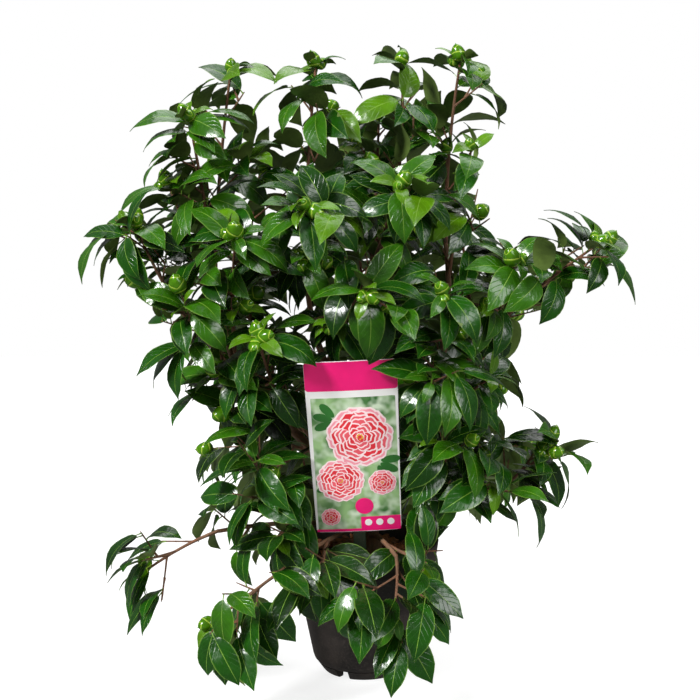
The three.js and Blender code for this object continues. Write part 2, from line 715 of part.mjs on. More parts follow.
addPot();
addSoil();
addLabel();
growLimbs();
growFoliage();

export default shrub;
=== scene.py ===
"""A camellia shrub in its nursery pot: the looks that stand round its frame of solids.

The frame's pot, mulch, label, trunk and limbs are replaced one by one. Each mass of foliage is grown
again by the frame's own rule, in millimetres, and carried on to finer twigs and more leaves.
"""

import math

import bpy
import numpy as np
from mathutils import Matrix, Vector, noise


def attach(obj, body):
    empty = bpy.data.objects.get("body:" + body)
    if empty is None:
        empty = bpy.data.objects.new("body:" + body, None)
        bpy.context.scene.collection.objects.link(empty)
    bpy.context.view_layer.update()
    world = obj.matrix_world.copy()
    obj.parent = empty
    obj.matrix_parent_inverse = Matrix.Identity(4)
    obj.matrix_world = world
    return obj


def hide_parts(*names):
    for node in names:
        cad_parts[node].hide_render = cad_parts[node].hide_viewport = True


bl_info = {
    "name": "Potted Camellia",
    "version": (1, 0, 0),
    "blender": (4, 5, 0),
    "location": "View3D > Sidebar > Camellia",
    "description": "Builds a camellia shrub with its nursery pot, mulch and label",
    "category": "Object",
}

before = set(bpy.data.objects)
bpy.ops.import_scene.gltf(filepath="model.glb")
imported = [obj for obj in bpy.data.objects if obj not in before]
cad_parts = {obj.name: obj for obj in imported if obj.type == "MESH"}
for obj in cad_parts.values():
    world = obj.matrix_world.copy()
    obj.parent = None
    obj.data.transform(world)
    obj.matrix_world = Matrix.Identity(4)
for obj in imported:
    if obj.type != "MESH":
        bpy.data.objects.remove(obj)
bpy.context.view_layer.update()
MM = 0.001
BODY = "root"

# ---------------------------------------------------------------- sizes, in millimetres
GAP = 0.3
POT = {
    "rim_radius": 95,
    "height": 170,
    "collar_height": 30,
    "collar_step": 2.5,
    "wall_top": 88.5,
    "wall_foot": 64,
    "bottom_edge": 52.7,
    "foot_radius": 48,
    "foot_height": 10,
    "wall": 2.6,
    "feet": 4,
    "foot_span": 72,
    "foot_turn": -2,
}
SOIL_TOP = 150
LABEL = {
    "width": 110,
    "foot_width": 103,
    "height": 228,
    "spike": 55,
    "spike_width": 15,
    "sunk": 30,
    "corner": 6,
    "lean": math.radians(14),
    "tilt": math.radians(2.9),
    "foot": (-3, -66),
    "overlap": 24,
    "thick": 1.0,
    "bow": 1.6,
}
TRUNK = {"foot": (8, 4), "top": (3, 2, 215), "foot_radius": 12.5, "top_radius": 9.5, "flare": 0.45}

# name, parent, station on the parent (0 foot, 1 tip), tip, foot radius, tip radius
LIMBS = [
    ("left_leader", "trunk", 0.8, (-140, -18, 360), 6.6, 4.8),
    ("left_upper", "left_leader", 1, (-182, -8, 530), 4.6, 3),
    ("left_arm", "left_leader", 0.8, (-222, -50, 470), 3.6, 2.4),
    ("centre_leader", "trunk", 1, (-60, 0, 430), 5.8, 4),
    ("centre_left", "centre_leader", 1, (-72, -20, 560), 3.8, 2.8),
    ("centre_right", "centre_leader", 0.8, (22, -10, 540), 3.8, 2.8),
    ("right_leader", "trunk", 0.7, (84, -20, 352), 5.6, 4.4),
    ("right_upper", "right_leader", 1, (100, 0, 545), 4.2, 3),
    ("right_arm", "right_leader", 0.8, (172, -40, 460), 3.6, 2.6),
    ("left_low", "trunk", 0.45, (-178, -90, 205), 3.8, 2.4),
    ("right_low", "trunk", 0.4, (150, -40, 232), 3.8, 2.6),
    ("front_left", "trunk", 0.5, (-84, -132, 180), 3.4, 2.4),
    ("front_right", "trunk", 0.35, (38, -132, 186), 3.4, 2.4),
    ("back_leader", "trunk", 0.85, (10, 125, 440), 5.4, 3.4),
    ("back_left", "trunk", 0.6, (-130, 120, 350), 4.8, 3),
    ("back_right", "trunk", 0.5, (130, 115, 350), 4.8, 3),
]

# name, limb, station, tip, side twigs, buds, seed
MASSES = [
    ("left_crown", "left_upper", 1, (-160, -8, 752), 3, 1, 1),
    ("left_crown_outer", "left_upper", 0.85, (-206, -60, 700), 2, 1, 1),
    ("left_shoulder", "left_upper", 0.5, (-238, 0, 615), 2, 1, 1),
    ("left_arm_tip", "left_arm", 1, (-272, -60, 574), 2, 1, 1),
    ("left_arm_under", "left_arm", 0.8, (-205, -130, 482), 2, 0, 1),
    ("left_breast", "left_upper", 0.25, (-148, -140, 568), 3, 2, 1),
    ("left_flank", "left_leader", 0.75, (-176, -85, 398), 2, 1, 1),
    ("left_front", "left_leader", 0.65, (-122, -145, 450), 3, 1, 1),
    ("centre_crown_left", "centre_left", 1, (-58, -20, 758), 3, 1, 1),
    ("centre_front", "centre_left", 0.6, (-64, -158, 604), 3, 2, 1),
    ("centre_crown_right", "centre_right", 1, (44, 0, 762), 3, 2, 1),
    ("centre_breast", "centre_right", 0.5, (3, -168, 508), 3, 2, 1),
    ("right_breast", "centre_right", 0.85, (40, -120, 625), 3, 1, 1),
    ("right_crown", "right_upper", 1, (116, 5, 764), 3, 2, 2),
    ("right_crown_outer", "right_upper", 0.75, (126, -60, 662), 3, 1, 1),
    ("right_arm_tip", "right_arm", 1, (278, -50, 548), 3, 1, 3),
    ("right_arm_upper", "right_arm", 0.8, (174, -120, 535), 3, 2, 1),
    ("right_arm_under", "right_upper", 0.2, (92, -145, 505), 2, 1, 1),
    ("right_flank", "right_leader", 0.6, (150, -80, 392), 2, 0, 1),
    ("right_front", "right_leader", 0.9, (78, -150, 405), 2, 0, 1),
    ("left_low_upper", "left_low", 0.6, (-128, -120, 300), 3, 0, 1),
    ("left_low_inner", "left_low", 0.4, (-104, -125, 208), 2, 0, 1),
    ("left_low_tip", "left_low", 1, (-262, -100, 160), 3, 1, 2),
    ("right_low_tip", "right_low", 1, (214, -50, 302), 2, 1, 1),
    ("right_low_under", "right_low", 0.75, (150, -110, 272), 2, 0, 1),
    ("right_low_inner", "right_low", 0.6, (92, -115, 322), 2, 0, 1),
    ("front_left_tip", "front_left", 1, (-178, -160, 116), 3, 1, 1),
    ("front_left_skirt", "front_left", 0.6, (-48, -140, 178), 2, 0, 1),
    ("front_right_tip", "front_right", 1, (34, -184, 132), 3, 1, 2),
    ("front_right_side", "front_right", 0.7, (74, -138, 180), 2, 0, 1),
    ("back_crown", "back_leader", 1, (20, 125, 690), 3, 1, 1),
    ("back_breast", "back_leader", 0.7, (-10, 225, 560), 3, 1, 1),
    ("back_left_crown", "back_left", 1, (-130, 120, 630), 2, 1, 1),
    ("back_left_flank", "back_left", 0.8, (-200, 150, 440), 2, 0, 1),
    ("back_right_crown", "back_right", 1, (100, 115, 625), 2, 1, 2),
    ("back_right_flank", "back_right", 0.8, (195, 140, 440), 2, 0, 1),
    ("back_skirt", "back_leader", 0.45, (0, 210, 350), 2, 0, 1),
    ("back_left_low", "back_left", 0.45, (-140, 170, 250), 2, 0, 1),
    ("back_right_low", "back_right", 0.45, (140, 170, 250), 2, 0, 1),
]

MASS_NAMES = [mass[0] for mass in MASSES]

# How far a new arc follows its parent, at the parent's tip and along its flank.
FOLLOW = {"tip": 0.45, "flank": 0.2}
STEPS = 3
STEM = {"foot": 3, "tip": 1.9}
TWIG = {"foot": 1.3, "tip": 1.2, "first": 0.3, "last": 0.88, "length": 62, "spread": 0.9}
LEAF = {
    "length": (66, 90),
    "half_width": 0.3,
    "widest": 0.42,
    "petiole": 7,
    "spacing": 20,
    "whorl": 3,
    "whorl_pitch": 4,
    "spread": 1.3,
    "whorl_spread": 1.1,
    "droop": 0.45,
    "arch": (0.55, 1.2),
    "fold": 0.3,
    "thick": 1.5,
    "most": 11,
    "tries": 10,
    "turn": 0.55,
}
BUD = {"radius": 11, "offset": 0.5}
# How the buds are dressed: their size, and those beside them and on the fine twigs.
BUDS = {
    "size": 0.88,
    "high": 640,  # the buds above this height are younger, and smaller by less_high
    "less_high": 0.16,
    "sway": 1.3,
    "seat": 0.85,
    "second": 0.75,  # how many have a second one beside them, and a third
    "third": 0.3,
    "fine": 0.3,  # how many fine twigs bear one, above fine_height
    "fine_height": 230,
    "fine_radius": (7, 3.5),
    "scale_rims": (0.95, 1.65, 2.35),  # the angle from the foot at which each ring of scales ends
    "scale_lap": 0.42,
    "scale_step": 0.05,
    "length": (0.92, 1.58),  # of the foot and of the point, in radii
    "ends": (0.94, 1.74),
}
# A blade: for its width, its fold at the rib and the bulge of each half, the least and what chance adds.
BLADE_FORM = {
    "thick": 0.45,
    "width": (0.9, 0.2),
    "fold": (0.08, 0.24),
    "bulge": (0.1, 0.2),
    "wave": 0.018,  # of the margin, as a share of the leaf's length
    "waves": 8.5,
    "groove": 0.2,
    "stalk": (0.7, 0.385),  # half its width on the twig and under the blade
}
# A spray's age, from 0, young, to 4, oldest.
TONE = {
    "foot": 150,
    "height": 620,
    "low": 2.9,  # at the foot of the crown
    "rise": 1.5,  # how much younger its top is
    "bend": 1.1,
    "tip": 14,  # how much of a shoot counts as its tip
    "young": 0.7,  # how much younger the tip is
    "scatter": 2.2,
}
TONES = ("young", "fresh", "middle", "deep", "dark")
# Bark chips: how many, how far out they lie, and the least of each size with what chance adds.
CHIPS = {
    "count": 300,
    "ring": 80,
    "edge": 83,
    "trunk": 21,
    "length": (8, 16),
    "width": (3, 5),
    "thick": (0.9, 1.6),
}
# The label's print, by its middle (across, up). Rosettes: middle, size, turn, rings.
ROSETTES = [
    ((7, 184), 40, 0.2, 8),
    ((-19, 126), 29, 0.9, 7),
    ((31, 121), 17, 0.5, 5),
    ((-33, 76), 12, 0.1, 4),
]
# Groups of three leaves: middle, size, turn of the first.
PRINTED_LEAVES = [((-18, 206), 26, 2.3), ((24, 150), 26, -1.1), ((-26, 118), 20, 2.2)]
DISCS = [(12, 67, 4.4, "white"), (25.5, 67, 4.4, "white"), (39, 67, 4.4, "white"), (8, 90, 11, "pink")]
# name, setting of its strength, azimuth, elevation and width in degrees
LAMPS = [
    ("key_light", "key", -50, 40, 16),
    ("side_light", "side", 44, 34, 36),
    ("top_light", "back", 170, 52, 55),
]
# How far the camera looks down, in degrees, with its lens and sensor in millimetres.
LENS = {"down": 10.57, "lens": 93, "sensor": 36}
SPACE = {
    "reach": 120,
    "cell_gap": 4,
    "overlap": 40,
    "leaf_gap": 0.7,
    "shoot_gap": 3.4,
    "shoot_sight": 72,  # a shoot further off than this can't touch a leaf
    "limb_gap": 2.2,
    "ground": 6,
    "pot_gap": 4,
    "back": 258,  # no fine leaf grows past this at the back
    "label_gap": 3,
    "label_side": 3,
    "label_end": 4,
    "label_front": 5,
    "pot_inside": 6,
    "collar_gap": 10,
    "soil_gap": 4,
}
# The random streams of a mass start from its seed, its index and one of these, so that no two are alike.
KEYS = {
    "twig": 100,
    "bud": 200,
    "stem_twig": 300,
    "side_twig": 320,
    "limb_twig": 380,
    "side_leaf": 10,
    "fine_leaf": 40,
    "tuft": 80,
    "flank_tone": 900,
    "tuft_tone": 950,
    "knots": 5000,
    "grouped_buds": 41,
    "fine_buds": 43,
    "print": 51,
    "chips": 77,
}
# What the frame leaves to this file: shorter twigs on the stems and on the twigs, and their leaves.
FINE = {
    "stem_twigs": 4,
    "side_twigs": 1,
    "stem_part": (0.12, 0.95),  # the part of a stem, of a twig and of a limb that bears them
    "side_part": (0.35, 0.8),
    "limb_part": (0.4, 0.98),
    "twig_spread": 0.85,
    "twig_gap": 9,
    "length": (26, 44),
    "size": 0.87,  # of a leaf in the frame
    "half_width": 0.226,
    "droop": 0.08,
    "arch": (0.85, 1.6),
    "lifts": (0.36, 0.18, 0.0),  # how far a leaf of the frame rears up before it arches over
    "hanging": 200,  # the boughs below this height hang, and their leaves with them
    "reared": 380,
    "bearing_limbs": ("left_low", "right_low", "front_left"),  # thin enough to bear twigs of their own
    "limb_twigs": 5,
    "tuft_size": 0.5,
    "reach": 98,
    "overlap": (12, 40),  # how far twigs, and leaves, may pass into a neighbour's space
    "spacing": 13,
    "most": 31,
    "tries": 6,
    "gap": 2.2,
    "tuft_leaves": 3,
    "tuft_spread": 0.75,
}
# The back of the crown is filled further in, where the frame's masses stand apart.
FINE_BACK = {
    **FINE,
    "stem_twigs": 12,
    "side_twigs": 2,
    "length": (38, 92),
    "most": 76,
    "reach": 165,
    "overlap": (70, 90),
    "bearing_limbs": ("back_leader", "back_left", "back_right"),
    "limb_twigs": 14,
}
# Where the crown is open, seen from the front: middle (x, z), half width and half height at y = OPEN_PLANE.
OPENINGS = [
    (152, 617, 29, 50), (206, 445, 29, 38), (298, 477, 24, 24), (-203, 123, 54, 34),
    (-230, 116, 41, 24), (-131, 144, 19, 19), (-275, 213, 41, 20), (119, 163, 24, 72),
    (184, 198, 29, 22), (-202, 328, 24, 34), (-271, 439, 24, 38), (-287, 462, 19, 31),
    (-109, 746, 19, 18), (-9, 756, 22, 14), (-175, 783, 43, 19), (180, 334, 14, 34),
    (-201, 662, 7, 22), (-121, 711, 17, 14), (-17, 716, 11, 22), (-324, 514, 17, 17),
    (167, 668, 17, 12), (259, 233, 12, 17), (47, 793, 19, 12), (-216, 451, 6, 14),
    (-121, 587, 17, 8), (-115, 614, 7, 10), (-147, 553, 8, 7), (-210, 451, 11, 17),
    (97, 631, 11, 14), (77, 521, 7, 7), (53, 427, 6, 8), (162, 574, 26, 17),
    (-228, 87, 41, 26), (-183, 105, 29, 14), (190, 424, 14, 29), (255, 467, 24, 19),
    (21, 688, 12, 12), (71, 586, 12, 14), (102, 374, 11, 11), (-130, 208, 7, 22),
    (-239, 445, 10, 17), (-185, 349, 8, 10), (-19, 614, 7, 8), (234, 421, 26, 31),
    (161, 181, 17, 24), (187, 588, 22, 14), (147, 597, 19, 19), (-235, 421, 18, 22),
    (126, 576, 22, 19), (-290, 203, 24, 17), (178, 467, 17, 12), (224, 465, 17, 12),
    (-190, 302, 18, 13), (-247, 617, 13, 11), (-260, 585, 14, 12), (-189, 758, 16, 10),
    (143, 729, 12, 22), (131, 365, 11, 10),
]
OPEN_PLANE = -50
VIEWPOINT = np.array((-17.0, -2200.0, 822.0))
GOLDEN_ANGLE = math.pi * (3 - math.sqrt(5))
# Chance turns of small pieces run over this much, in radians, and buds follow each other by the next.
LOOSE_TURN = 6.28
BUD_TURN = 2.4
UP = np.array((0.0, 0.0, 1.0))


# ---------------------------------------------------------------- small helpers
def linear(code, alpha=1.0):
    """The linear colour of an sRGB hex code."""
    values = [int(code[i : i + 2], 16) / 255 for i in (0, 2, 4)]
    return (*[v / 12.92 if v <= 0.04045 else ((v + 0.055) / 1.055) ** 2.4 for v in values], alpha)


def unit(v):
    """The vector at length 1."""
    return v / np.linalg.norm(v)


def mix(low, high, share):
    return low + (high - low) * share


def seeded(*keys):
    """A stream of numbers from 0 to 1 that is the same for the same keys."""
    state = 2166136261
    for key in keys:
        state = ((state ^ (key + 1)) * 16777619) & 0xFFFFFFFF

    def step():
        nonlocal state
        state = (state * 1664525 + 1013904223) & 0xFFFFFFFF
        return state / 4294967296

    step()
    step()
    return step


# ---------------------------------------------------------------- curves
class Curve:
    """A quadratic arc from a to c that heads for b, and the straight steps that stand for it in the frame."""

    def __init__(self, a, b, c, steps=STEPS):
        t = np.linspace(0, 1, steps + 1)[:, None]
        self.a, self.b, self.c = a, b, c
        self.path = a * (1 - t) ** 2 + b * 2 * t * (1 - t) + c * t**2
        chord = c - a
        side = np.cross(b - a, c - b)
        if np.linalg.norm(side) < 1e-3 * chord @ chord:
            side = np.cross(chord, (1.0, 0.0, 0.0))
        self.side = unit(side)
        self.length = float(np.linalg.norm(chord))
        self.bow = np.zeros(3)

    def on_path(self, t):
        steps = len(self.path) - 1
        step = min(math.floor(t * steps), steps - 1)
        return mix(self.path[step], self.path[step + 1], t * steps - step)

    def heading(self, t):
        return unit((self.b - self.a) * (1 - t) + (self.c - self.b) * t)

    def drawn(self, t):
        """The points of the smooth arc, with its small bow, at one or several stations."""
        t = np.atleast_1d(t)[:, None]
        arc = self.a * (1 - t) ** 2 + self.b * 2 * t * (1 - t) + self.c * t**2
        return arc + self.bow * 4 * t * (1 - t)


def arc_from(parent, station, c):
    """An arc from a parent curve's station to c that first follows the parent's direction."""
    heading = parent.heading(station)
    a = parent.on_path(station) + (heading * GAP if station == 1 else 0)
    chord = c - a
    lead = mix(unit(chord), heading, FOLLOW["tip" if station == 1 else "flank"])
    return Curve(a, a + lead * np.linalg.norm(chord) * 0.5, c)


def distances(points, starts, runs):
    """Distances from n points to m straight stretches, with the share along each where it is nearest."""
    offset = points[:, None] - starts[None]
    share = np.clip((offset * runs).sum(2) / (runs * runs).sum(1), 0, 1)
    return np.linalg.norm(offset - share[..., None] * runs, axis=2), share


def crossing(p, q, faces):
    """True if any stretch from p to q (n, 3) passes through any triangle of faces (m, 3, 3)."""
    if not len(p) or not len(faces):
        return False
    along = (q - p)[:, None]
    corner, ab, ac = faces[:, 0], faces[:, 1] - faces[:, 0], faces[:, 2] - faces[:, 0]
    h = np.cross(along, ac)
    det = (ab * h).sum(2)
    flat = np.abs(det) < 1e-9
    det = np.where(flat, 1, det)
    start = p[:, None] - corner
    u = (start * h).sum(2) / det
    k = np.cross(start, ab)
    v = (along * k).sum(2) / det
    t = (ac * k).sum(2) / det
    return bool((~flat & (u >= 0) & (u <= 1) & (v >= 0) & (u + v <= 1) & (t >= 0) & (t <= 1)).any())


def in_opening(points):
    """True if any of the points is seen from the front in one of the crown's openings."""
    share = (OPEN_PLANE - VIEWPOINT[1]) / (points[:, 1] - VIEWPOINT[1])
    across = VIEWPOINT[0] + (points[:, 0] - VIEWPOINT[0]) * share
    up = VIEWPOINT[2] + (points[:, 2] - VIEWPOINT[2]) * share
    middle_x, middle_z, half_width, half_height = np.array(OPENINGS, float).T[:, None]
    off_x, off_z = (across[:, None] - middle_x) / half_width, (up[:, None] - middle_z) / half_height
    return bool((off_x**2 + off_z**2 < 1).any())


# ---------------------------------------------------------------- the shrub that is grown
class Shoot:
    """A stem or twig that bears leaves."""

    def __init__(self, mass, curve, number, foot, tip, fine=False):
        self.mass, self.curve, self.number = mass, curve, number
        self.foot, self.tip, self.fine = foot, tip, fine


class Leaf:
    """A leaf's root on its shoot, heading, upper side, length and the arch of its rib."""

    def __init__(self, shoot, t, azimuth, spread, random, size, rule):
        curve = shoot.curve
        self.shoot, self.t, self.half_width = shoot, t, rule["half_width"]
        droop, arch = rule["droop"], rule["arch"]
        self.root = curve.on_path(t)
        if "hanging" in rule:
            rise = self.rise()
            droop = mix(LEAF["droop"], droop, rise)
            arch = mix(LEAF["arch"][0], arch[0], rise), mix(LEAF["arch"][1], arch[1], rise)
        along = curve.heading(t)
        across = np.cross(curve.side, along)
        outward = curve.side * math.cos(azimuth) + across * math.sin(azimuth)
        heading = along * math.cos(spread) + outward * math.sin(spread)
        self.heading = unit(heading - UP * droop * (0.5 + random()))
        upper = unit(np.array((self.root[0], self.root[1], 0.0))) * 0.55 + UP * 0.8
        upper = upper + np.array((random() - 0.5, random() - 0.5, random() - 0.5)) * 0.7
        self.upper = unit(upper - self.heading * (upper @ self.heading))
        self.side = np.cross(self.upper, self.heading)
        self.length = mix(*LEAF["length"], random()) * size
        self.arch = mix(*arch, random())
        self.tuft = False

    def rise(self):
        share = (self.root[2] - FINE["hanging"]) / (FINE["reared"] - FINE["hanging"])
        return min(max(share, 0.0), 1.0)

    def rear_up(self, heading, arch, lift):
        """Leaves the twig more steeply than its solid and arches over further."""
        self.heading = unit(heading + UP * lift)
        self.arch = arch + lift * 1.2
        self.upper = unit(self.upper - self.heading * (self.upper @ self.heading))
        self.side = np.cross(self.upper, self.heading)

    def rib(self, t):
        bend = self.length / self.arch
        along = LEAF["petiole"] + bend * math.sin(self.arch * t)
        return self.root + self.heading * along - self.upper * bend * (1 - math.cos(self.arch * t))

    def corners(self, margin=0.0):
        """Root, tip, left, top, right and underside of the leaf's solid, grown by a margin."""
        turn = self.arch * LEAF["widest"]
        up = self.upper * math.cos(turn) + self.heading * math.sin(turn)
        middle = self.rib(LEAF["widest"])
        half = self.length * self.half_width + margin
        lift = up * half * math.sin(LEAF["fold"])
        out = self.side * half * math.cos(LEAF["fold"])
        thick = up * (LEAF["thick"] / 2 + margin)
        tip = self.rib(1 + margin / self.length)
        left, right = middle - out + lift, middle + out + lift
        return np.array((self.root, tip, left, middle + thick, right, middle - thick))


# Corner numbers of a leaf's solid: its edges, its faces, and the points and lines that are tested.
ROOT, TIP, LEFT, TOP, RIGHT, UNDER = range(6)
RING = [LEFT, TOP, RIGHT, UNDER]
HOOP = [(RING[i], RING[(i + 1) % 4]) for i in range(4)]
EDGES = np.array(HOOP + [(end, corner) for end in (ROOT, TIP) for corner in RING])
FACES = np.array([(end, p, q) for end in (ROOT, TIP) for p, q in HOOP])
BLADE = np.array([(ROOT, LEFT, TOP), (ROOT, TOP, RIGHT), (TIP, LEFT, TOP), (TIP, TOP, RIGHT)])


def fine_rule(mass):
    return FINE_BACK if mass["name"].startswith("back") else FINE


class Growth:
    """The growing shrub: limbs, shoots, buds and leaves, and the tests that keep them apart."""

    def __init__(self):
        self.limbs, self.masses, self.shoots, self.buds, self.leaves = {}, [], [], [], []
        turn_x = np.array(Matrix.Rotation(LABEL["lean"], 3, "X"))
        turn_y = np.array(Matrix.Rotation(-LABEL["tilt"], 3, "Y"))
        self.label_turn = turn_x @ turn_y
        self.label_foot = np.array((*LABEL["foot"], SOIL_TOP), float)
        half, low, high = LABEL["width"] / 2, LABEL["spike"], LABEL["spike"] + LABEL["height"]
        card = [(-half, 0, low), (half, 0, low), (half, 0, high), (-half, 0, high)]
        card = np.array(card) @ self.label_turn.T + self.label_foot
        self.label_card = np.array((card[[0, 1, 2]], card[[0, 2, 3]]))
        self.shells = np.zeros((0, 6, 3))

    # limbs and shoots
    def grow_limbs(self):
        foot = np.array((*TRUNK["foot"], SOIL_TOP + GAP), float)
        tip = np.array(TRUNK["top"], float)
        middle = np.array((foot[0], foot[1], (foot[2] + tip[2]) / 2))
        sizes = (TRUNK[name] for name in ("foot_radius", "top_radius", "flare"))
        self.limbs["trunk"] = (Curve(foot, middle, tip), *sizes)
        for name, parent, station, end, foot_radius, tip_radius in LIMBS:
            curve = arc_from(self.limbs[parent][0], station, np.array(end, float))
            self.limbs[name] = (curve, foot_radius, tip_radius, 0.0)
        curves = [limb[0] for limb in self.limbs.values()]
        self.limb_starts = np.concatenate([curve.path[:-1] for curve in curves])
        self.limb_runs = np.concatenate([np.diff(curve.path, axis=0) for curve in curves])
        self.limb_sizes = np.array([limb[1:] for limb in self.limbs.values()])

    def place_stems(self):
        for index, (name, limb, station, tip, twigs, buds, seed) in enumerate(MASSES):
            curve = arc_from(self.limbs[limb][0], station, np.array(tip, float))
            mass = {"name": name, "index": index, "seed": seed, "twigs": twigs, "buds": buds, "leaves": 0}
            mass.update(curve=curve, shoots=[], limb=limb, station=station)
            self.masses.append(mass)
            self.add_shoot(mass, curve, STEM["foot"], STEM["tip"])
        self.stem_starts = np.concatenate([mass["curve"].path[:-1] for mass in self.masses])
        self.stem_runs = np.concatenate([np.diff(mass["curve"].path, axis=0) for mass in self.masses])

    def add_shoot(self, mass, curve, foot, tip, fine=False):
        shoot = Shoot(mass, curve, len(mass["shoots"]), foot, tip, fine)
        mass["shoots"].append(shoot)
        self.shoots.append(shoot)
        self.shoot_starts = np.concatenate([s.curve.path[:-1] for s in self.shoots])
        self.shoot_runs = np.concatenate([np.diff(s.curve.path, axis=0) for s in self.shoots])
        owners = [[i] * (len(s.curve.path) - 1) for i, s in enumerate(self.shoots)]
        self.shoot_owner = np.concatenate(owners)
        shoot.index = len(self.shoots) - 1
        return shoot

    # space
    def clear_of_label(self, points):
        p = (points - self.label_foot) @ self.label_turn
        across = np.abs(p[:, 0])
        top = LABEL["spike"] + LABEL["height"]
        side, end = LABEL["width"] / 2 + SPACE["label_side"], SPACE["label_end"]
        card = (across < side) & (p[:, 2] > LABEL["spike"] - end) & (p[:, 2] < top + end)
        spike = (across < LABEL["spike_width"]) & (p[:, 2] < LABEL["spike"])
        near = (card | spike) & (np.abs(p[:, 1]) < SPACE["label_gap"])
        front = (across < LABEL["width"] / 2 - SPACE["label_front"]) & (p[:, 2] > LABEL["spike"] + end)
        front &= p[:, 1] < 0
        return ~near & ~(front & (p[:, 2] < top - LABEL["overlap"]))

    def clear_of_pot(self, points):
        radius, z = np.hypot(points[:, 0], points[:, 1]), points[:, 2]
        wall = mix(POT["wall_foot"], POT["rim_radius"], np.clip(z / POT["height"], 0.15, 1))
        below_collar = POT["height"] - POT["collar_height"] - SPACE["collar_gap"]
        collar = np.where(z > below_collar, POT["rim_radius"], 0)
        outside = radius > np.maximum(wall, collar) + SPACE["pot_gap"]
        inside = radius < POT["rim_radius"] - POT["wall"] - SPACE["pot_inside"]
        beside = np.where(inside, z > SOIL_TOP + SPACE["soil_gap"], outside)
        return (z >= SPACE["ground"]) & ((z > POT["height"] + SPACE["pot_gap"]) | beside)

    def clear_of_limbs(self, points):
        distance, share = distances(points, self.limb_starts, self.limb_runs)
        distance = distance.reshape(len(points), -1, STEPS)
        step = distance.argmin(2)
        share = np.take_along_axis(share.reshape(distance.shape), step[..., None], 2)[..., 0]
        t = (step + share) / STEPS
        foot, tip, flare = self.limb_sizes.T
        radius = mix(foot, tip, t) * (1 + flare * (1 - t) ** 4)
        return (distance.min(2) >= radius + SPACE["limb_gap"]).all(1)

    def in_own_space(self, points, mass, overlap, reach=None):
        distance = distances(points, self.stem_starts, self.stem_runs)[0]
        distance = distance.reshape(len(points), -1, STEPS).min(2)
        own = distance[:, mass["index"]].copy()
        distance[:, mass["index"]] = np.inf
        return (own <= (reach or SPACE["reach"])) & (distance.min(1) > own - overlap)

    def is_free(self, points):
        return self.clear_of_pot(points) & self.clear_of_label(points) & self.clear_of_limbs(points)

    # twigs and buds
    def grow_twigs(self, mass):
        curve = mass["curve"]
        for k in range(mass["twigs"]):
            random = seeded(mass["seed"], mass["index"], KEYS["twig"] + k)
            t = mix(TWIG["first"], TWIG["last"], (k + random() * 0.6) / mass["twigs"])
            azimuth = k * GOLDEN_ANGLE + mass["seed"] + random()
            full = TWIG["length"] * (1.15 - 0.5 * t) * (0.8 + 0.4 * random())
            self.try_twig(mass, curve, t, azimuth, full, TWIG["spread"], -SPACE["cell_gap"])

    def try_twig(self, mass, curve, t, azimuth, full, spread, overlap, fine=False):
        """A twig as long as its space allows, or none."""
        foot, heading = curve.on_path(t), curve.heading(t)
        across = np.cross(curve.side, heading)
        outward = curve.side * math.cos(azimuth) + across * math.sin(azimuth)
        heading = unit(heading * math.cos(spread) + outward * math.sin(spread) + UP * 0.15)
        for share in (1, 0.75, 0.5):
            tip = foot + heading * full * share
            points = np.array((mix(foot, tip, 0.5), tip))
            reach = fine_rule(mass)["reach"] if fine else None
            if not (self.is_free(points) & self.in_own_space(points, mass, overlap, reach)).all():
                continue
            if fine and distances(points[1:], self.shoot_starts, self.shoot_runs)[0].min() < FINE["twig_gap"]:
                continue
            return self.add_shoot(mass, Curve(foot, points[0], tip, 1), TWIG["foot"], TWIG["tip"], fine)
        return None

    def grow_fine_twigs(self, mass):
        """Shorter twigs, on the stem and then on each twig of the frame."""
        rule = fine_rule(mass)
        rows = [(mass["curve"], rule["stem_twigs"], rule["stem_part"], KEYS["stem_twig"])]
        for shoot in mass["shoots"]:
            if shoot.number:
                key = KEYS["side_twig"] + 10 * shoot.number
                rows.append((shoot.curve, rule["side_twigs"], rule["side_part"], key))
        if mass["station"] == 1 and mass["limb"] in rule["bearing_limbs"]:
            limb = self.limbs[mass["limb"]][0]
            rows.append((limb, rule["limb_twigs"], rule["limb_part"], KEYS["limb_twig"]))
        for curve, count, part, key in rows:
            for k in range(count):
                random = seeded(mass["seed"], mass["index"], key + k)
                t = mix(*part, (k + random() * 0.8) / count)
                azimuth = k * GOLDEN_ANGLE + mass["seed"] * 2 + 2 + random()
                full = mix(*rule["length"], random())
                self.try_twig(mass, curve, t, azimuth, full, rule["twig_spread"], rule["overlap"][0], True)

    def place_buds(self, mass):
        for k, shoot in enumerate(mass["shoots"][: mass["buds"]]):
            random = seeded(mass["seed"], mass["index"], KEYS["bud"] + k)
            radius = BUD["radius"] * (0.85 + 0.3 * random())
            heading = shoot.curve.heading(1)
            centre = shoot.curve.on_path(1) + heading * radius * BUD["offset"]
            self.buds.append({"shoot": shoot, "heading": heading, "radius": radius, "centre": centre})
        self.bud_centres = np.array([bud["centre"] for bud in self.buds]).reshape(-1, 3)
        self.bud_radii = np.array([bud["radius"] for bud in self.buds])

    # leaves
    def near_bud(self, lines):
        starts = np.concatenate([line[:-1] for line in lines])
        runs = np.concatenate([np.diff(line, axis=0) for line in lines])
        return bool((distances(self.bud_centres, starts, runs)[0].min(1) < self.bud_radii).any())

    def points_of(self, c):
        """The tested points of a leaf from its corners: those near its root, and those further out."""
        near = (c[[LEFT, RIGHT, TOP]] + c[ROOT]) / 2
        return near, np.concatenate((c[[TIP, LEFT, RIGHT, TOP]], (c[[LEFT, RIGHT, TOP]] + c[TIP]) / 2))

    def is_clear(self, c):
        """True if a leaf of those corners stays off the limbs, the pot, the ground and the label."""
        points = np.concatenate(self.points_of(c))
        return self.is_free(points).all() and not crossing(c[EDGES[:, 0]], c[EDGES[:, 1]], self.label_card)

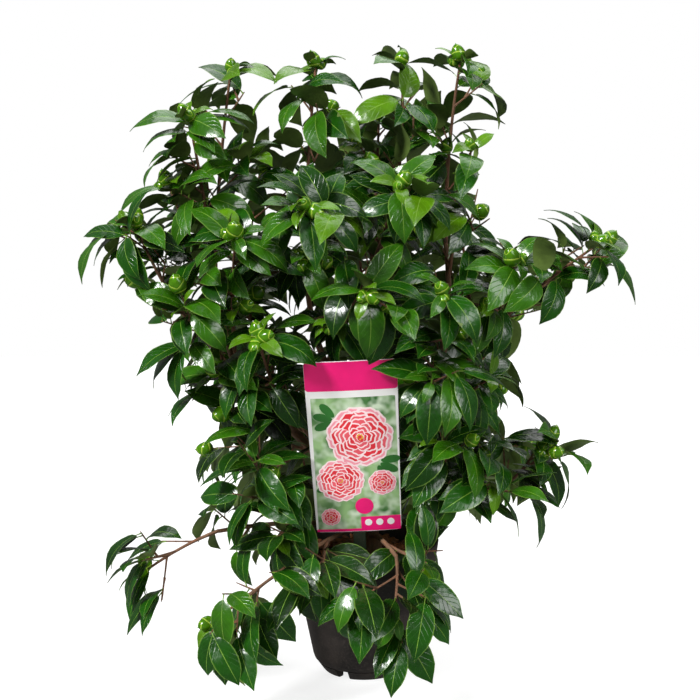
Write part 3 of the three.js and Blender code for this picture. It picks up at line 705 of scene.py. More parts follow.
    def leaf_fits(self, leaf, gap, shoot_gap, reach, spread_faces):
        """The corners of the leaf, grown by the gap, or None where it touches or hides what it mustn't."""
        c = leaf.corners(gap)
        middle = (c[TOP] + c[UNDER]) / 2
        near, far = self.points_of(c)
        mass = leaf.shoot.mass
        if reach and in_opening(np.array((leaf.rib(0.55), leaf.rib(1)))):
            return None
        if reach and c[:, 1].max() > SPACE["back"]:
            return None
        overlap = fine_rule(mass)["overlap"][1] if reach else SPACE["overlap"]
        if not self.in_own_space(far, mass, overlap, reach).all() or not self.is_clear(c):
            return None
        outline = np.array((near[0], c[LEFT], c[TIP], c[RIGHT], near[1]))
        if not leaf.tuft and self.near_bud((outline, np.array((near[2], c[TOP], c[TIP])))):
            return None
        faces = leaf.corners(shoot_gap)[FACES]
        if crossing(self.limb_starts, self.limb_starts + self.limb_runs, faces):
            return None
        close = np.linalg.norm(self.shoot_starts + self.shoot_runs / 2 - middle, axis=1)
        near_enough = SPACE["shoot_sight"] + np.linalg.norm(self.shoot_runs, axis=1) / 2
        others = (self.shoot_owner != leaf.shoot.index) & (close < near_enough)
        starts, runs = self.shoot_starts[others], self.shoot_runs[others]
        if len(starts) and distances(far, starts, runs)[0].min() < shoot_gap:
            return None
        if crossing(starts, starts + runs, faces):
            return None
        shells = self.shells
        middles = (shells[:, TOP] + shells[:, UNDER]) / 2
        shells = shells[np.linalg.norm(middles - middle, axis=1) <= LEAF["length"][1] * 1.3]
        if len(shells):
            there = shells[:, spread_faces].reshape(-1, 3, 3)
            if crossing(c[EDGES[:, 0]], c[EDGES[:, 1]], there):
                return None
            ends = shells[:, EDGES].reshape(-1, 2, 3)
            if crossing(ends[:, 0], ends[:, 1], c[spread_faces]):
                return None
        return c

    def grow_leaf(self, shoot, t, azimuth, spread, key, fine=False, tuft=False):
        """A leaf tries several turns, ever closer to the shoot and smaller, until it fits."""
        mass = shoot.mass
        rule = fine_rule(mass) if fine else LEAF
        tries, most = rule["tries"], rule["most"]
        for k in range(tries):
            if mass["leaves"] >= most:
                return
            random = seeded(mass["seed"], mass["index"], shoot.number, key)
            turn = math.ceil(k / 2) * (LEAF["turn"] if k % 2 else -LEAF["turn"])
            size = (1 - 0.03 * k) * (FINE["size"] if fine else 1) * (FINE["tuft_size"] if tuft else 1)
            leaf = Leaf(shoot, t, azimuth + turn, spread * (1 - 0.08 * k), random, size, rule)
            leaf.tuft = tuft
            if fine:
                shell = self.leaf_fits(leaf, GAP, rule["gap"], rule["reach"], BLADE)
            else:
                shell = self.leaf_fits(leaf, SPACE["leaf_gap"], SPACE["shoot_gap"], None, FACES)
            if shell is None:
                continue
            self.shells = np.concatenate((self.shells, shell[None]))
            self.leaves.append(leaf)
            mass["leaves"] += 1
            return

    def grow_whorls(self, shoots, keys, fine=False):
        for k in keys:
            for shoot in shoots:
                azimuth = k * math.pi * 2 / LEAF["whorl"] + shoot.mass["seed"] + shoot.number
                t = 1 - (k + 0.7) * LEAF["whorl_pitch"] / shoot.curve.length
                self.grow_leaf(shoot, t, azimuth, LEAF["whorl_spread"], k, fine)

    def grow_side_leaves(self, spacing, first, key, fine=False):
        rows = math.ceil(max(shoot.curve.length for shoot in self.shoots) / spacing)
        for k in range(rows):
            for shoot in list(self.shoots):
                t = first - (k + 0.5) * spacing / shoot.curve.length
                if t < (0.25 if shoot.number else 0.15):
                    continue
                azimuth = k * GOLDEN_ANGLE + shoot.mass["index"]
                self.grow_leaf(shoot, t, azimuth, LEAF["spread"], key + k, fine)

    def grow_tufts(self):
        """Young leaves, small yet, round the tips that bear buds and the tips of the stems."""
        budded = [bud["shoot"] for bud in self.buds]
        for shoot in self.shoots:
            if shoot.number and shoot not in budded:
                continue
            for k in range(FINE["tuft_leaves"]):
                azimuth = k * GOLDEN_ANGLE + shoot.mass["index"] + 1
                t = 1 - 1.5 * k / shoot.curve.length
                self.grow_leaf(shoot, t, azimuth, FINE["tuft_spread"], KEYS["tuft"] + k, True, True)

    def settle(self):
        """The frame's leaves take their real size and poise, which leaves room for the finer growth."""
        for leaf in self.leaves:
            leaf.length *= FINE["size"]
            leaf.half_width = FINE["half_width"]
            heading, arch = leaf.heading, leaf.arch
            for lift in FINE["lifts"]:
                leaf.rear_up(heading, arch, lift * leaf.rise())
                if self.is_clear(leaf.corners(GAP)):
                    break
        self.leaves = [leaf for leaf in self.leaves if not in_opening(leaf.rib(0.5)[None])]
        self.shells = np.array([leaf.corners(GAP) for leaf in self.leaves])

    def grow(self):
        self.grow_limbs()
        self.place_stems()
        for mass in self.masses:
            self.grow_twigs(mass)
        for mass in self.masses:
            self.place_buds(mass)
        self.grow_whorls(self.shoots, range(LEAF["whorl"]))
        self.grow_side_leaves(LEAF["spacing"], 0.9, KEYS["side_leaf"])
        self.settle()
        self.grow_tufts()
        for mass in self.masses:
            self.grow_fine_twigs(mass)
        self.grow_whorls(self.shoots, range(3, 5), True)
        self.grow_whorls([shoot for shoot in self.shoots if shoot.fine], range(3), True)
        self.grow_side_leaves(FINE["spacing"], 0.95, KEYS["fine_leaf"], True)
        return self


# ---------------------------------------------------------------- materials
def add_node(material, kind, inputs=None, **settings):
    """Adds a node with its settings; an input is a value or another node's output."""
    node = material.node_tree.nodes.new(kind)
    for name, value in settings.items():
        setattr(node, name, value)
    for name, value in (inputs or {}).items():
        if isinstance(value, bpy.types.NodeSocket):
            material.node_tree.links.new(value, node.inputs[name])
        else:
            node.inputs[name].default_value = value
    return node


def new_material(name, color, **values):
    """A material with its Principled shader, its object coordinates and the plain values on its sockets."""
    material = bpy.data.materials.new(name)
    material.use_nodes = True
    material.diffuse_color = color
    shader = material.node_tree.nodes["Principled BSDF"]
    shader.inputs["Base Color"].default_value = color
    for socket, value in values.items():
        shader.inputs[socket.replace("_", " ")].default_value = value
    coords = add_node(material, "ShaderNodeTexCoord")
    return material, shader, coords


def link(material, output, shader, socket):
    material.node_tree.links.new(output, shader.inputs[socket])


def shaded(material, factor, low, high):
    """A colour that goes from low to high with a factor."""
    ramp = add_node(material, "ShaderNodeMix", data_type="RGBA")
    mix_color(ramp, low, high)
    material.node_tree.links.new(factor, ramp.inputs[0])
    return ramp.outputs[2]


def mix_color(node, low, high):
    """Sets the two colours of a mix node, each a value or another node's output."""
    for socket, value in ((node.inputs[6], low), (node.inputs[7], high)):
        if isinstance(value, bpy.types.NodeSocket):
            node.id_data.links.new(value, socket)
        else:
            socket.default_value = value


def scaled(color, share):
    """A lighter or darker shade of a colour."""
    return (*[min(1.0, c * share) for c in color[:3]], 1.0)


def mottled(material, shader, factor, color, low, high):
    """The base colour runs from a darker to a lighter shade of one colour with a factor."""
    link(material, shaded(material, factor, scaled(color, low), scaled(color, high)), shader, "Base Color")


def map_range(material, value, low=0.0, high=1.0, to_low=0.0, to_high=1.0):
    limits = {"Value": value, "From Min": low, "From Max": high, "To Min": to_low, "To Max": to_high}
    return add_node(material, "ShaderNodeMapRange", limits).outputs[0]


def noise_factor(material, coords, size, detail=3.0, low=0.35, high=0.65, roughness=0.5):
    """Noise with features of a real size in metres, spread between 0 and 1."""
    inputs = {"Vector": coords, "Scale": 1 / size, "Detail": detail, "Roughness": roughness}
    return map_range(material, add_node(material, "ShaderNodeTexNoise", inputs).outputs[0], low, high)


def bump(material, shader, height, distance, strength):
    inputs = {"Height": height, "Distance": distance, "Strength": strength}
    link(material, add_node(material, "ShaderNodeBump", inputs).outputs[0], shader, "Normal")


def math_node(material, operation, *values, **settings):
    node = add_node(material, "ShaderNodeMath", operation=operation, **settings)
    for socket, value in zip(node.inputs, values):
        if isinstance(value, bpy.types.NodeSocket):
            material.node_tree.links.new(value, socket)
        else:
            socket.default_value = value
    return node.outputs[0]


def leaf_blade_material(name, color):
    """The cuticle of a camellia leaf: a waxy dark skin that shows softboxes as broad pale patches."""
    material, shader, coords = new_material(name, color, Roughness=0.24, Specular_IOR_Level=0.5)
    cloud = noise_factor(material, coords.outputs["Object"], 0.03, 2.0, 0.25, 0.75)
    blade = shaded(material, cloud, scaled(color, 0.6), scaled(color, 1.4))
    uv = add_node(material, "ShaderNodeSeparateXYZ", {"Vector": coords.outputs["UV"]})
    across = math_node(material, "ABSOLUTE", math_node(material, "SUBTRACT", uv.outputs[1], 0.5))
    # Eight pairs of side veins run from the rib towards the tip.
    along = math_node(material, "MULTIPLY", uv.outputs[0], 8.0)
    lag = math_node(material, "MULTIPLY", across, 4.6)
    phase = math_node(material, "FRACT", math_node(material, "SUBTRACT", along, lag))
    ridge = math_node(material, "ABSOLUTE", math_node(material, "SUBTRACT", phase, 0.5))
    vein = map_range(material, ridge, 0.07, 0.0)
    veined = shaded(material, math_node(material, "MULTIPLY", vein, 0.32), blade, scaled(color, 2.4))
    margin = map_range(material, across, 0.45, 0.5)
    edged = shaded(material, math_node(material, "MULTIPLY", margin, 0.75), veined, linear("6c8c38"))
    link(material, edged, shader, "Base Color")
    rough = noise_factor(material, coords.outputs["Object"], 0.012)
    link(material, map_range(material, rough, to_low=0.19, to_high=0.29), shader, "Roughness")
    quilt = noise_factor(material, coords.outputs["Object"], 0.01, 1.0)
    height = math_node(material, "ADD", math_node(material, "MULTIPLY", vein, -0.5), quilt)
    bump(material, shader, height, 0.0004, 0.75)
    return material


def leaf_underside_material(color):
    """The underside has no wax: a paler, duller olive green."""
    material, shader, coords = new_material("leaf_underside", color, Roughness=0.55)
    mottled(material, shader, noise_factor(material, coords.outputs["Object"], 0.02), color, 0.8, 1.2)
    bump(material, shader, noise_factor(material, coords.outputs["Object"], 0.004), 0.0003, 0.5)
    return material


def leaf_rib_material(color):
    """The midrib and stalk: pale yellow-green and a little waxy."""
    material, shader, coords = new_material("leaf_rib", color, Roughness=0.42)
    mottled(material, shader, noise_factor(material, coords.outputs["Object"], 0.015), color, 0.75, 1.2)
    return material


def bud_material(color):
    """Bud scales: smooth, waxy, bright green, paler towards their edges, with painted shade just below each
    rim.
    """
    material, shader, coords = new_material("bud_scales", color, Roughness=0.17)
    cloud = noise_factor(material, coords.outputs["Object"], 0.008)
    base = shaded(material, cloud, scaled(color, 0.8), scaled(color, 1.25))
    phase = add_node(material, "ShaderNodeAttribute", attribute_name="scale_phase").outputs[2]
    lap = math_node(material, "FRACT", phase)
    # Pale rims on the scales, and painted shade just below each rim where the scale above laps over it.
    rim, under = map_range(material, lap, 0.8, 0.96), map_range(material, lap, 0.14, 0.0)
    painted_scale_shade = shaded(material, math_node(material, "MULTIPLY", under, 0.7), base, scaled(color, 0.4))
    link(material, shaded(material, rim, painted_scale_shade, linear("9cb840")), shader, "Base Color")
    bump(material, shader, lap, 0.0006, 0.6)
    return material


def bark_material(name, color, grain, red):
    """Young camellia bark: smooth, matt, with fine lengthwise cracks and warm patches."""
    material, shader, coords = new_material(name, color, Roughness=0.78)
    stretch = {"Vector": coords.outputs["UV"], "Scale": (1.0, 0.22, 1.0)}
    lengthwise = add_node(material, "ShaderNodeMapping", stretch).outputs[0]
    cracks = noise_factor(material, lengthwise, grain, 5.0, 0.38, 0.6, 0.65)
    patches = noise_factor(material, coords.outputs["Object"], 0.022, 3.0)
    warm = shaded(material, patches, scaled(color, 0.85), red)
    link(material, shaded(material, cracks, scaled(color, 0.5), warm), shader, "Base Color")
    bump(material, shader, cracks, 0.0008, 0.7)
    return material


def pot_material(color):
    """Moulded polypropylene from recycled stock: matt charcoal, faintly mottled, dusty in places."""
    gloss = {"Roughness": 0.62, "Specular_IOR_Level": 0.3}
    material, shader, coords = new_material("moulded_pot_plastic", color, **gloss)
    place = coords.outputs["Object"]
    dust = noise_factor(material, place, 0.035, 5.0, 0.42, 0.75, 0.6)
    specks = noise_factor(material, place, 0.0022, 2.0, 0.5, 0.8)
    base = shaded(material, math_node(material, "MULTIPLY", dust, 0.6), color, linear("382f2a"))
    speckled = shaded(material, math_node(material, "MULTIPLY", specks, 0.35), base, linear("4a443f"))
    link(material, speckled, shader, "Base Color")
    link(material, map_range(material, dust, to_low=0.5, to_high=0.78), shader, "Roughness")
    # The moulded grain is finer than the render can show, so it is drawn at 1.2 mm.
    bump(material, shader, noise_factor(material, place, 0.0012, 2.0), 0.0001, 0.5)
    return material


def compost_material(color):
    """Moist peat and fibre: dark, matt and crumbly."""
    material, shader, coords = new_material("potting_compost", color, Roughness=0.95)
    crumbs = noise_factor(material, coords.outputs["Object"], 0.004, 5.0, 0.35, 0.65, 0.7)
    mottled(material, shader, crumbs, color, 0.45, 1.5)
    bump(material, shader, crumbs, 0.003, 0.9)
    return material


def chip_material(name, color):
    """Chipped pine bark: orange-brown, rough and fibrous."""
    material, shader, coords = new_material(name, color, Roughness=0.88)
    fibre = noise_factor(material, coords.outputs["Object"], 0.003, 4.0, 0.3, 0.7, 0.65)
    mottled(material, shader, fibre, color, 0.5, 1.35)
    bump(material, shader, fibre, 0.001, 0.8)
    return material


def print_material(name, color, variation=0.06):
    """Ink under a thin gloss film."""
    material, shader, coords = new_material(name, color, Roughness=0.34)
    cloud = noise_factor(material, coords.outputs["Object"], 0.03)
    mottled(material, shader, cloud, color, 1 - variation, 1 + variation)
    return material


def picture_material():
    """The printed picture's ground: soft, out-of-focus garden greens."""
    film = {"Roughness": 0.3, "Coat_Weight": 0.5, "Coat_Roughness": 0.12}
    material, shader, coords = new_material("print_garden_blur", linear("5f9a4a"), **film)
    place = coords.outputs["Object"]
    broad = noise_factor(material, place, 0.03, 1.0, 0.36, 0.64)
    fine = noise_factor(material, place, 0.012, 1.0, 0.4, 0.7)
    green = shaded(material, broad, linear("2f6a2c"), linear("9ec586"))
    link(material, shaded(material, fine, green, linear("cfe0c4")), shader, "Base Color")
    return material


def floor_material(color, glow):
    """A white light table: matt, and lit a little from within."""
    material, shader, coords = new_material("studio_light_table", color, Roughness=0.9)
    mottled(material, shader, noise_factor(material, coords.outputs["Object"], 0.4), color, 0.995, 1.0)
    shader.inputs["Emission Color"].default_value = (1.0, 1.0, 1.0, 1.0)
    shader.inputs["Emission Strength"].default_value = glow
    return material


# ---------------------------------------------------------------- meshes
def deselect():
    if bpy.context.object and bpy.context.object.mode != "OBJECT":
        bpy.ops.object.mode_set(mode="OBJECT")
    bpy.ops.object.select_all(action="DESELECT")


def activate(obj):
    deselect()
    obj.select_set(True)
    bpy.context.view_layer.objects.active = obj


def mesh_object(name, vertices, edges, faces):
    mesh = bpy.data.meshes.new(name)
    mesh.from_pydata(vertices, edges, faces)
    obj = bpy.data.objects.new(name, mesh)
    bpy.context.scene.collection.objects.link(obj)
    return obj


def object_from(name, vertices, faces, materials, slots=None, smooth=None):
    """An object from arrays, in metres. smooth is the sharpest edge, in degrees, that is drawn soft."""
    obj = mesh_object(name, vertices.tolist(), [], faces)
    mesh = obj.data
    for material in materials:
        mesh.materials.append(material)
    if slots is not None:
        mesh.polygons.foreach_set("material_index", np.asarray(slots, np.int32))
    if smooth is not None:
        mesh.polygons.foreach_set("use_smooth", np.ones(len(mesh.polygons), bool))
        mesh.set_sharp_from_angle(angle=math.radians(smooth))
    mesh.update()
    return obj


def stand_for(obj, slot, *nodes):
    """The piece rides on the plant's one body and stands for its nodes; its slot is not used."""
    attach(obj, BODY)
    if nodes:
        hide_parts(*nodes)
    return obj


def set_uv(mesh, vertex_uv):
    """Gives every corner its vertex's place in the pattern."""
    layer = mesh.uv_layers.new(name="pattern")
    corners = np.zeros(len(mesh.loops), np.int32)
    mesh.loops.foreach_get("vertex_index", corners)
    layer.data.foreach_set("uv", np.asarray(vertex_uv, np.float32)[corners].ravel())


def tube(centres, radii, sides, spin, relief):
    """Vertices, faces and UVs in metres of a closed tube round a line of centres in millimetres."""
    count = len(centres)
    along = np.gradient(centres, axis=0)
    along /= np.linalg.norm(along, axis=1)[:, None]
    side = np.cross(along[0], UP if abs(along[0][2]) < 0.9 else (1.0, 0.0, 0.0))
    angle = np.arange(sides) * 2 * math.pi / sides + spin
    rings = []
    for i in range(count):
        side = unit(side - along[i] * (side @ along[i]))
        across = np.cross(along[i], side)
        ring = side * np.cos(angle)[:, None] + across * np.sin(angle)[:, None]
        rings.append(centres[i] + ring * (radii[i] * relief[i])[:, None])
    vertices = np.concatenate(rings)
    i, j = np.meshgrid(np.arange(count - 1), np.arange(sides), indexing="ij")
    k = (j + 1) % sides
    quads = np.stack((i * sides + j, i * sides + k, (i + 1) * sides + k, (i + 1) * sides + j), -1)
    faces = quads.reshape(-1, 4).tolist()
    faces += [list(range(sides))[::-1], list(range((count - 1) * sides, count * sides))]
    lengths = np.concatenate(([0], np.cumsum(np.linalg.norm(np.diff(centres, axis=0), axis=1))))
    u = np.tile(angle * float(np.mean(radii)), count)
    uv = np.stack((u, np.repeat(lengths, sides)), -1) * MM
    return vertices * MM, faces, uv


def joined(parts):
    """Joins lists of (vertices, faces, uv) into one."""
    vertices, faces, uvs, start = [], [], [], 0
    for v, f, uv in parts:
        vertices.append(v)
        faces += [[i + start for i in face] for face in f]
        uvs.append(uv)
        start += len(v)
    return np.concatenate(vertices), faces, np.concatenate(uvs)


# ---------------------------------------------------------------- leaves
LEAF_ROWS = np.array((0.0, 0.04, 0.12, 0.23, 0.36, 0.49, 0.61, 0.72, 0.82, 0.91, 1.0))
LEAF_COLUMNS = np.array((-1.0, -0.55, -0.026, 0.026, 0.55, 1.0))


def half_width_at(t):
    """The outline of a camellia leaf, 1 at its widest: round at its foot, drawn out to a point."""
    body = t**0.6 * (1 - t) ** 0.86 / 0.3714
    tip = np.clip((t - 0.7) / 0.3, 0, 1)
    return np.maximum(body * (1 - 0.42 * tip * tip * (3 - 2 * tip)), 0.018)


def leaf_arrays(leaves):
    """Vertices, faces, slots and UVs of many leaves, each a thin closed blade with its rib and stalk."""
    n, rows, columns = len(leaves), len(LEAF_ROWS), len(LEAF_COLUMNS)
    drawn = np.array([leaf.shoot.curve.drawn(leaf.t)[0] for leaf in leaves])
    heading, upper, side, length, arch, half = (
        np.array([getattr(leaf, name) for leaf in leaves])
        for name in ("heading", "upper", "side", "length", "arch", "half_width")
    )
    streams = [seeded(leaf.shoot.index, int(leaf.length * 1000)) for leaf in leaves]
    random = np.array([[stream() for _ in range(3)] for stream in streams])
    t = LEAF_ROWS[None, :]
    bend = (length / arch)[:, None]
    turn = arch[:, None] * t
    forward = LEAF["petiole"] + bend * np.sin(turn)
    down = bend * (1 - np.cos(turn))
    rib = drawn[:, None] + heading[:, None] * forward[..., None] - upper[:, None] * down[..., None]
    up = upper[:, None] * np.cos(turn)[..., None] + heading[:, None] * np.sin(turn)[..., None]
    # Across the blade: folded at the rib, each half bulging, its margin waved.
    v = LEAF_COLUMNS[None, None, :]
    (least_width, more_width), (least_fold, more_fold), (least_bulge, more_bulge) = (
        BLADE_FORM[name] for name in ("width", "fold", "bulge")
    )
    width = (length * half * (least_width + more_width * random[:, 2]))[:, None, None]
    width = width * half_width_at(LEAF_ROWS)[None, :, None]
    fold = (least_fold + more_fold * random[:, 0])[:, None, None]
    bulge = (least_bulge + more_bulge * random[:, 1])[:, None, None]
    lift = width * (fold * np.abs(v) - bulge * v * v * 0.9)
    phase = (random[:, 2] * LOOSE_TURN)[:, None, None] + np.where(v > 0, 1.9, 0)
    wave = np.sin(t[..., None] * BLADE_FORM["waves"] + phase) * np.sin(math.pi * t[..., None])
    lift = lift + length[:, None, None] * BLADE_FORM["wave"] * v * v * wave
    # The rib lies in a shallow groove.
    groove = np.where(np.abs(v) < 0.1, -BLADE_FORM["groove"], 0.0)
    middle = rib[:, :, None] + side[:, None, None] * (v * width)[..., None]
    thick = BLADE_FORM["thick"] / 2
    top = middle + up[:, :, None] * (lift + thick + groove)[..., None]
    # The underside is plainer: it shares the blade's margins and has one line of its own, under the rib.
    keel = rib - up * (thick + BLADE_FORM["groove"])
    grid = np.arange(rows * columns).reshape(rows, columns)
    line = rows * columns + np.arange(rows)
    vertices = np.concatenate((top.reshape(n, -1, 3), keel), 1)

    def quads(left, right):
        return np.stack((left[:-1], left[1:], right[1:], right[:-1]), -1)

    face = [quads(grid[:, j], grid[:, j + 1]) for j in range(columns - 1)]
    face += [quads(line, grid[:, 0]), quads(grid[:, -1], line)]
    face = np.concatenate(face).tolist()
    face += [[*grid[0].tolist(), int(line[0])], [int(line[-1]), *grid[-1][::-1].tolist()]]
    # Slots: 0 the blade, 1 its underside, 2 rib, stalk and ends.
    slots = np.concatenate((np.repeat([0, 0, 2, 0, 0, 1, 1], rows - 1), (2, 2)))
    uv_top = np.stack(np.meshgrid(LEAF_ROWS, LEAF_COLUMNS / 2 + 0.5, indexing="ij"), -1)
    uv = np.concatenate((uv_top.reshape(-1, 2), np.stack((LEAF_ROWS, np.full(rows, 0.5)), -1)))
    # The stalk is a square prism from the twig to a little way under the blade.
    ends = np.stack((drawn - heading * 0.6, rib[:, 1] - up[:, 1] * 0.25), 1)
    radii = np.array(BLADE_FORM["stalk"])
    corner = np.array(((1, 1), (-1, 1), (-1, -1), (1, -1)))
    stalk = ends[:, :, None] + radii[None, :, None, None] * (
        corner[None, None, :, :1] * side[:, None, None] + corner[None, None, :, 1:] * upper[:, None, None]
    )
    first = vertices.shape[1]
    stalk_faces = [(first + i, first + (i + 1) % 4, first + 4 + (i + 1) % 4, first + 4 + i) for i in range(4)]
    stalk_faces += [(first + 3, first + 2, first + 1, first), (first + 4, first + 5, first + 6, first + 7)]
    vertices = np.concatenate((vertices, stalk.reshape(n, 8, 3)), 1)
    face += [list(corners) for corners in stalk_faces]
    slots = np.concatenate((slots, np.full(6, 2)))
    uv = np.concatenate((uv, np.zeros((8, 2))))
    faces = [[i + k * vertices.shape[1] for i in corners] for k in range(n) for corners in face]
    return vertices.reshape(-1, 3) * MM, faces, np.tile(slots, n), np.tile(uv, (n, 1))


def tone_of(leaf):
    """The spray's colour, from 0, young, to 4, oldest. A shoot's tip and its flank are two sprays."""
    shoot, mass, rule = leaf.shoot, leaf.shoot.mass, TONE
    if leaf.tuft:
        return int(seeded(mass["index"], shoot.number, KEYS["tuft_tone"])() > 0.6)
    at_tip = leaf.t > 1 - rule["tip"] / shoot.curve.length
    random = seeded(mass["index"], shoot.number, KEYS["flank_tone"] + at_tip)
    height = max((leaf.root[2] - rule["foot"]) / rule["height"], 0)
    age = rule["low"] - rule["rise"] * height ** rule["bend"] - rule["young"] * at_tip
    return int(min(max(round(age + rule["scatter"] * (random() - 0.5)), 0), len(TONES) - 1))


# ---------------------------------------------------------------- twigs and buds
def swell_nodes(centres, sides, key, share):
    """Relief for a tube: a low knot every two or three centimetres where a leaf once stood."""
    random = seeded(key)
    lengths = np.concatenate(([0], np.cumsum(np.linalg.norm(np.diff(centres, axis=0), axis=1))))
    angle = np.arange(sides) * 2 * math.pi / sides
    relief = np.ones((len(centres), sides))
    # Along the shoot, in millimetres: the first knot, and each next one.
    place = 6 + 10 * random()
    while place < lengths[-1]:
        near = np.exp(-(((lengths - place) / 1.8) ** 2))[:, None]
        facing = 0.55 + 0.45 * np.cos(angle - random() * LOOSE_TURN)[None]
        relief += share * near * facing * 1.6
        place += 14 + 16 * random()
    return relief


def open_buds(growth):
    """The frame's buds, but for those that would stand alone where the crown is open."""
    return [bud for bud in growth.buds if not in_opening(bud["centre"][None])]


def bearing_shoots(growth):
    """The stems, and the twigs that came to bear a leaf or a bud."""
    bearers = {leaf.shoot.index for leaf in growth.leaves} | {bud["shoot"].index for bud in open_buds(growth)}
    return [shoot for shoot in growth.shoots if shoot.number == 0 or shoot.index in bearers]


def twig_tubes(growth):
    parts = []
    for shoot in bearing_shoots(growth):
        curve, is_stem = shoot.curve, shoot.number == 0
        count = max(4, int(curve.length / (5 if is_stem else 6)))
        t = np.linspace(0, 1, count)
        centres = curve.drawn(t)
        foot, tip = shoot.foot * 0.95, shoot.tip * 0.8
        if is_stem and shoot.mass["station"] == 1:
            centres[0] -= curve.heading(0) * 3
            foot = growth.limbs[shoot.mass["limb"]][2] * 0.97
        radii = mix(foot, tip, t**0.7)
        if not is_stem:
            radii = radii * (1 + 0.5 * np.exp(-t * curve.length / 4))
        radii[-1] *= 0.7
        sides = 7 if is_stem else 5
        relief = swell_nodes(centres, sides, KEYS["knots"] + shoot.index, 0.1)
        parts.append(tube(centres, radii, sides, 0.3 * shoot.index, relief))
    return joined(parts)


def all_buds(growth):
    """The frame's buds at their real size, each with one or two beside it, and more on the fine twigs."""
    placed, rule = [], BUDS
    for k, bud in enumerate(open_buds(growth)):
        random = seeded(KEYS["grouped_buds"], k)
        heading, shoot = bud["heading"], bud["shoot"]
        tip = shoot.curve.drawn(1)[0]
        radius = bud["radius"] * (rule["size"] - rule["less_high"] * (tip[2] > rule["high"]))
        sway = np.array((random() - 0.5, random() - 0.5, random() - 0.5))
        heading = unit(heading + sway * rule["sway"])
        placed.append((tip + heading * radius * rule["seat"], heading, radius))
        across = unit(np.cross(heading, (0.3, 1.0, 0.2)))
        for j in range((random() < rule["second"]) + (random() < rule["third"])):
            angle = LOOSE_TURN * random() + BUD_TURN * j
            outward = across * math.cos(angle) + np.cross(heading, across) * math.sin(angle)
            beside = unit(heading * 0.45 + outward)
            size = radius * (0.72 + 0.2 * random())
            centre = tip - heading * (2 + 3 * j) + beside * size * 1.15
            placed.append((centre, beside, size))
    for shoot in bearing_shoots(growth):
        random = seeded(KEYS["fine_buds"], shoot.index)
        if shoot.fine and shoot.curve.c[2] > rule["fine_height"] and random() < rule["fine"]:
            heading = shoot.curve.heading(1)
            least, more = rule["fine_radius"]
            radius = least + more * random()
            placed.append((shoot.curve.drawn(1)[0] + heading * radius * rule["seat"], heading, radius))
    return placed


def bud_arrays(placed, sides=18, rows=18):
    """Closed buds: round, drawn out to a point, wrapped in overlapping scales with pale edges."""
    theta = np.linspace(0, math.pi, rows + 1)[1:-1]
    phi = np.arange(sides) * 2 * math.pi / sides
    th, ph = np.meshgrid(theta, phi, indexing="ij")
    past = np.clip((th - math.pi / 2) / (math.pi / 2), 0, 1)
    radius = np.sin(th) * (1 - 0.3 * past**2)
    # Every scale's rim is a whole number of the phase, which grows evenly from one rim to the next.
    stations = [np.zeros_like(th)]
    step = np.zeros_like(th)
    for k, base in enumerate(BUDS["scale_rims"]):
        rim = base + BUDS["scale_lap"] * np.abs(np.cos(ph + k * 1.9))
        stations.append(rim)
        below = rim - th
        step += np.where(below > 0, np.exp(-below / 0.5), 0.0) * BUDS["scale_step"]
    stations.append(np.full_like(th, math.pi))
    # The phase starts and ends half way between two rims.
    first, last_phase = 0.45, 3.55
    phase = np.full_like(th, first)
    for k in range(4):
        share = np.clip((th - stations[k]) / (stations[k + 1] - stations[k]), 0, 1)
        phase += share * (1 - first if k in (0, 3) else 1.0)
    foot_length, point_length = BUDS["length"]
    height = -np.cos(th) * np.where(th > math.pi / 2, point_length, foot_length)
    radius = radius * (1 + step)
    count = th.size
    quads = []
    for i in range(len(theta) - 1):
        for j in range(sides):
            k = (j + 1) % sides
            quads.append((i * sides + j, i * sides + k, (i + 1) * sides + k, (i + 1) * sides + j))
    quads += [(count, (j + 1) % sides, j, j) for j in range(sides)]
    last = (len(theta) - 1) * sides
    quads += [(count + 1, last + j, last + (j + 1) % sides, last + (j + 1) % sides) for j in range(sides)]
    faces = [tuple(dict.fromkeys(quad)) for quad in quads]
    vertices, all_faces, phases = [], [], []
    for n, (centre, heading, size) in enumerate(placed):
        side = unit(np.cross(heading, (0.31, 0.2, 0.93)))
        across = np.cross(heading, side)
        turn = n * 1.7
        x = radius * np.cos(ph + turn) * size
        y = radius * np.sin(ph + turn) * size
        points = side * x[..., None] + across * y[..., None] + heading * (height * size)[..., None]
        poles = np.array((heading * -BUDS["ends"][0] * size, heading * BUDS["ends"][1] * size))
        vertices.append(np.concatenate((points.reshape(-1, 3), poles)) + centre)
        phases.append(np.concatenate((phase.ravel(), (first, last_phase))))
        all_faces += [[i + n * (count + 2) for i in face] for face in faces]
    return np.concatenate(vertices) * MM, all_faces, np.concatenate(phases)


# ---------------------------------------------------------------- limbs
def limb_tube(name, growth, step=3.2):
    """A limb with its taper, the collar where it leaves its parent, knots and a grained surface."""
    curve, foot, tip, flare = growth.limbs[name]
    sides = 26 if name == "trunk" else 14
    count = max(8, int(curve.length / step))
    t = np.linspace(0, 1, count)
    centres = curve.drawn(t)
    radii = mix(foot, tip, t) * (1 + flare * (1 - t) ** 4)
    station = next((limb[2] for limb in LIMBS if limb[0] == name), 0)
    if name == "trunk":
        centres[0] -= UP * 4
    elif station < 1:
        radii = radii * (1 + 0.4 * np.exp(-t * curve.length / 9))
    else:
        centres[0] -= curve.heading(0) * 3
    radii[-1] *= 0.86
    relief = swell_nodes(centres, sides, len(name) * 31 + int(foot * 10), 0.07)
    angle = np.arange(sides) * 2 * math.pi / sides
    for i, centre in enumerate(centres):
        for j, a in enumerate(angle):
            x, y, z = math.cos(a) * radii[i] / 3.2, math.sin(a) * radii[i] / 3.2, t[i] * curve.length / 22
            place = Vector((x, y, z))
            coarse = noise.noise(place * 0.6 + Vector(centre / 90))
            relief[i, j] += 0.07 * noise.noise(place) + 0.08 * coarse
    return tube(centres, radii, sides, 0.0, relief)


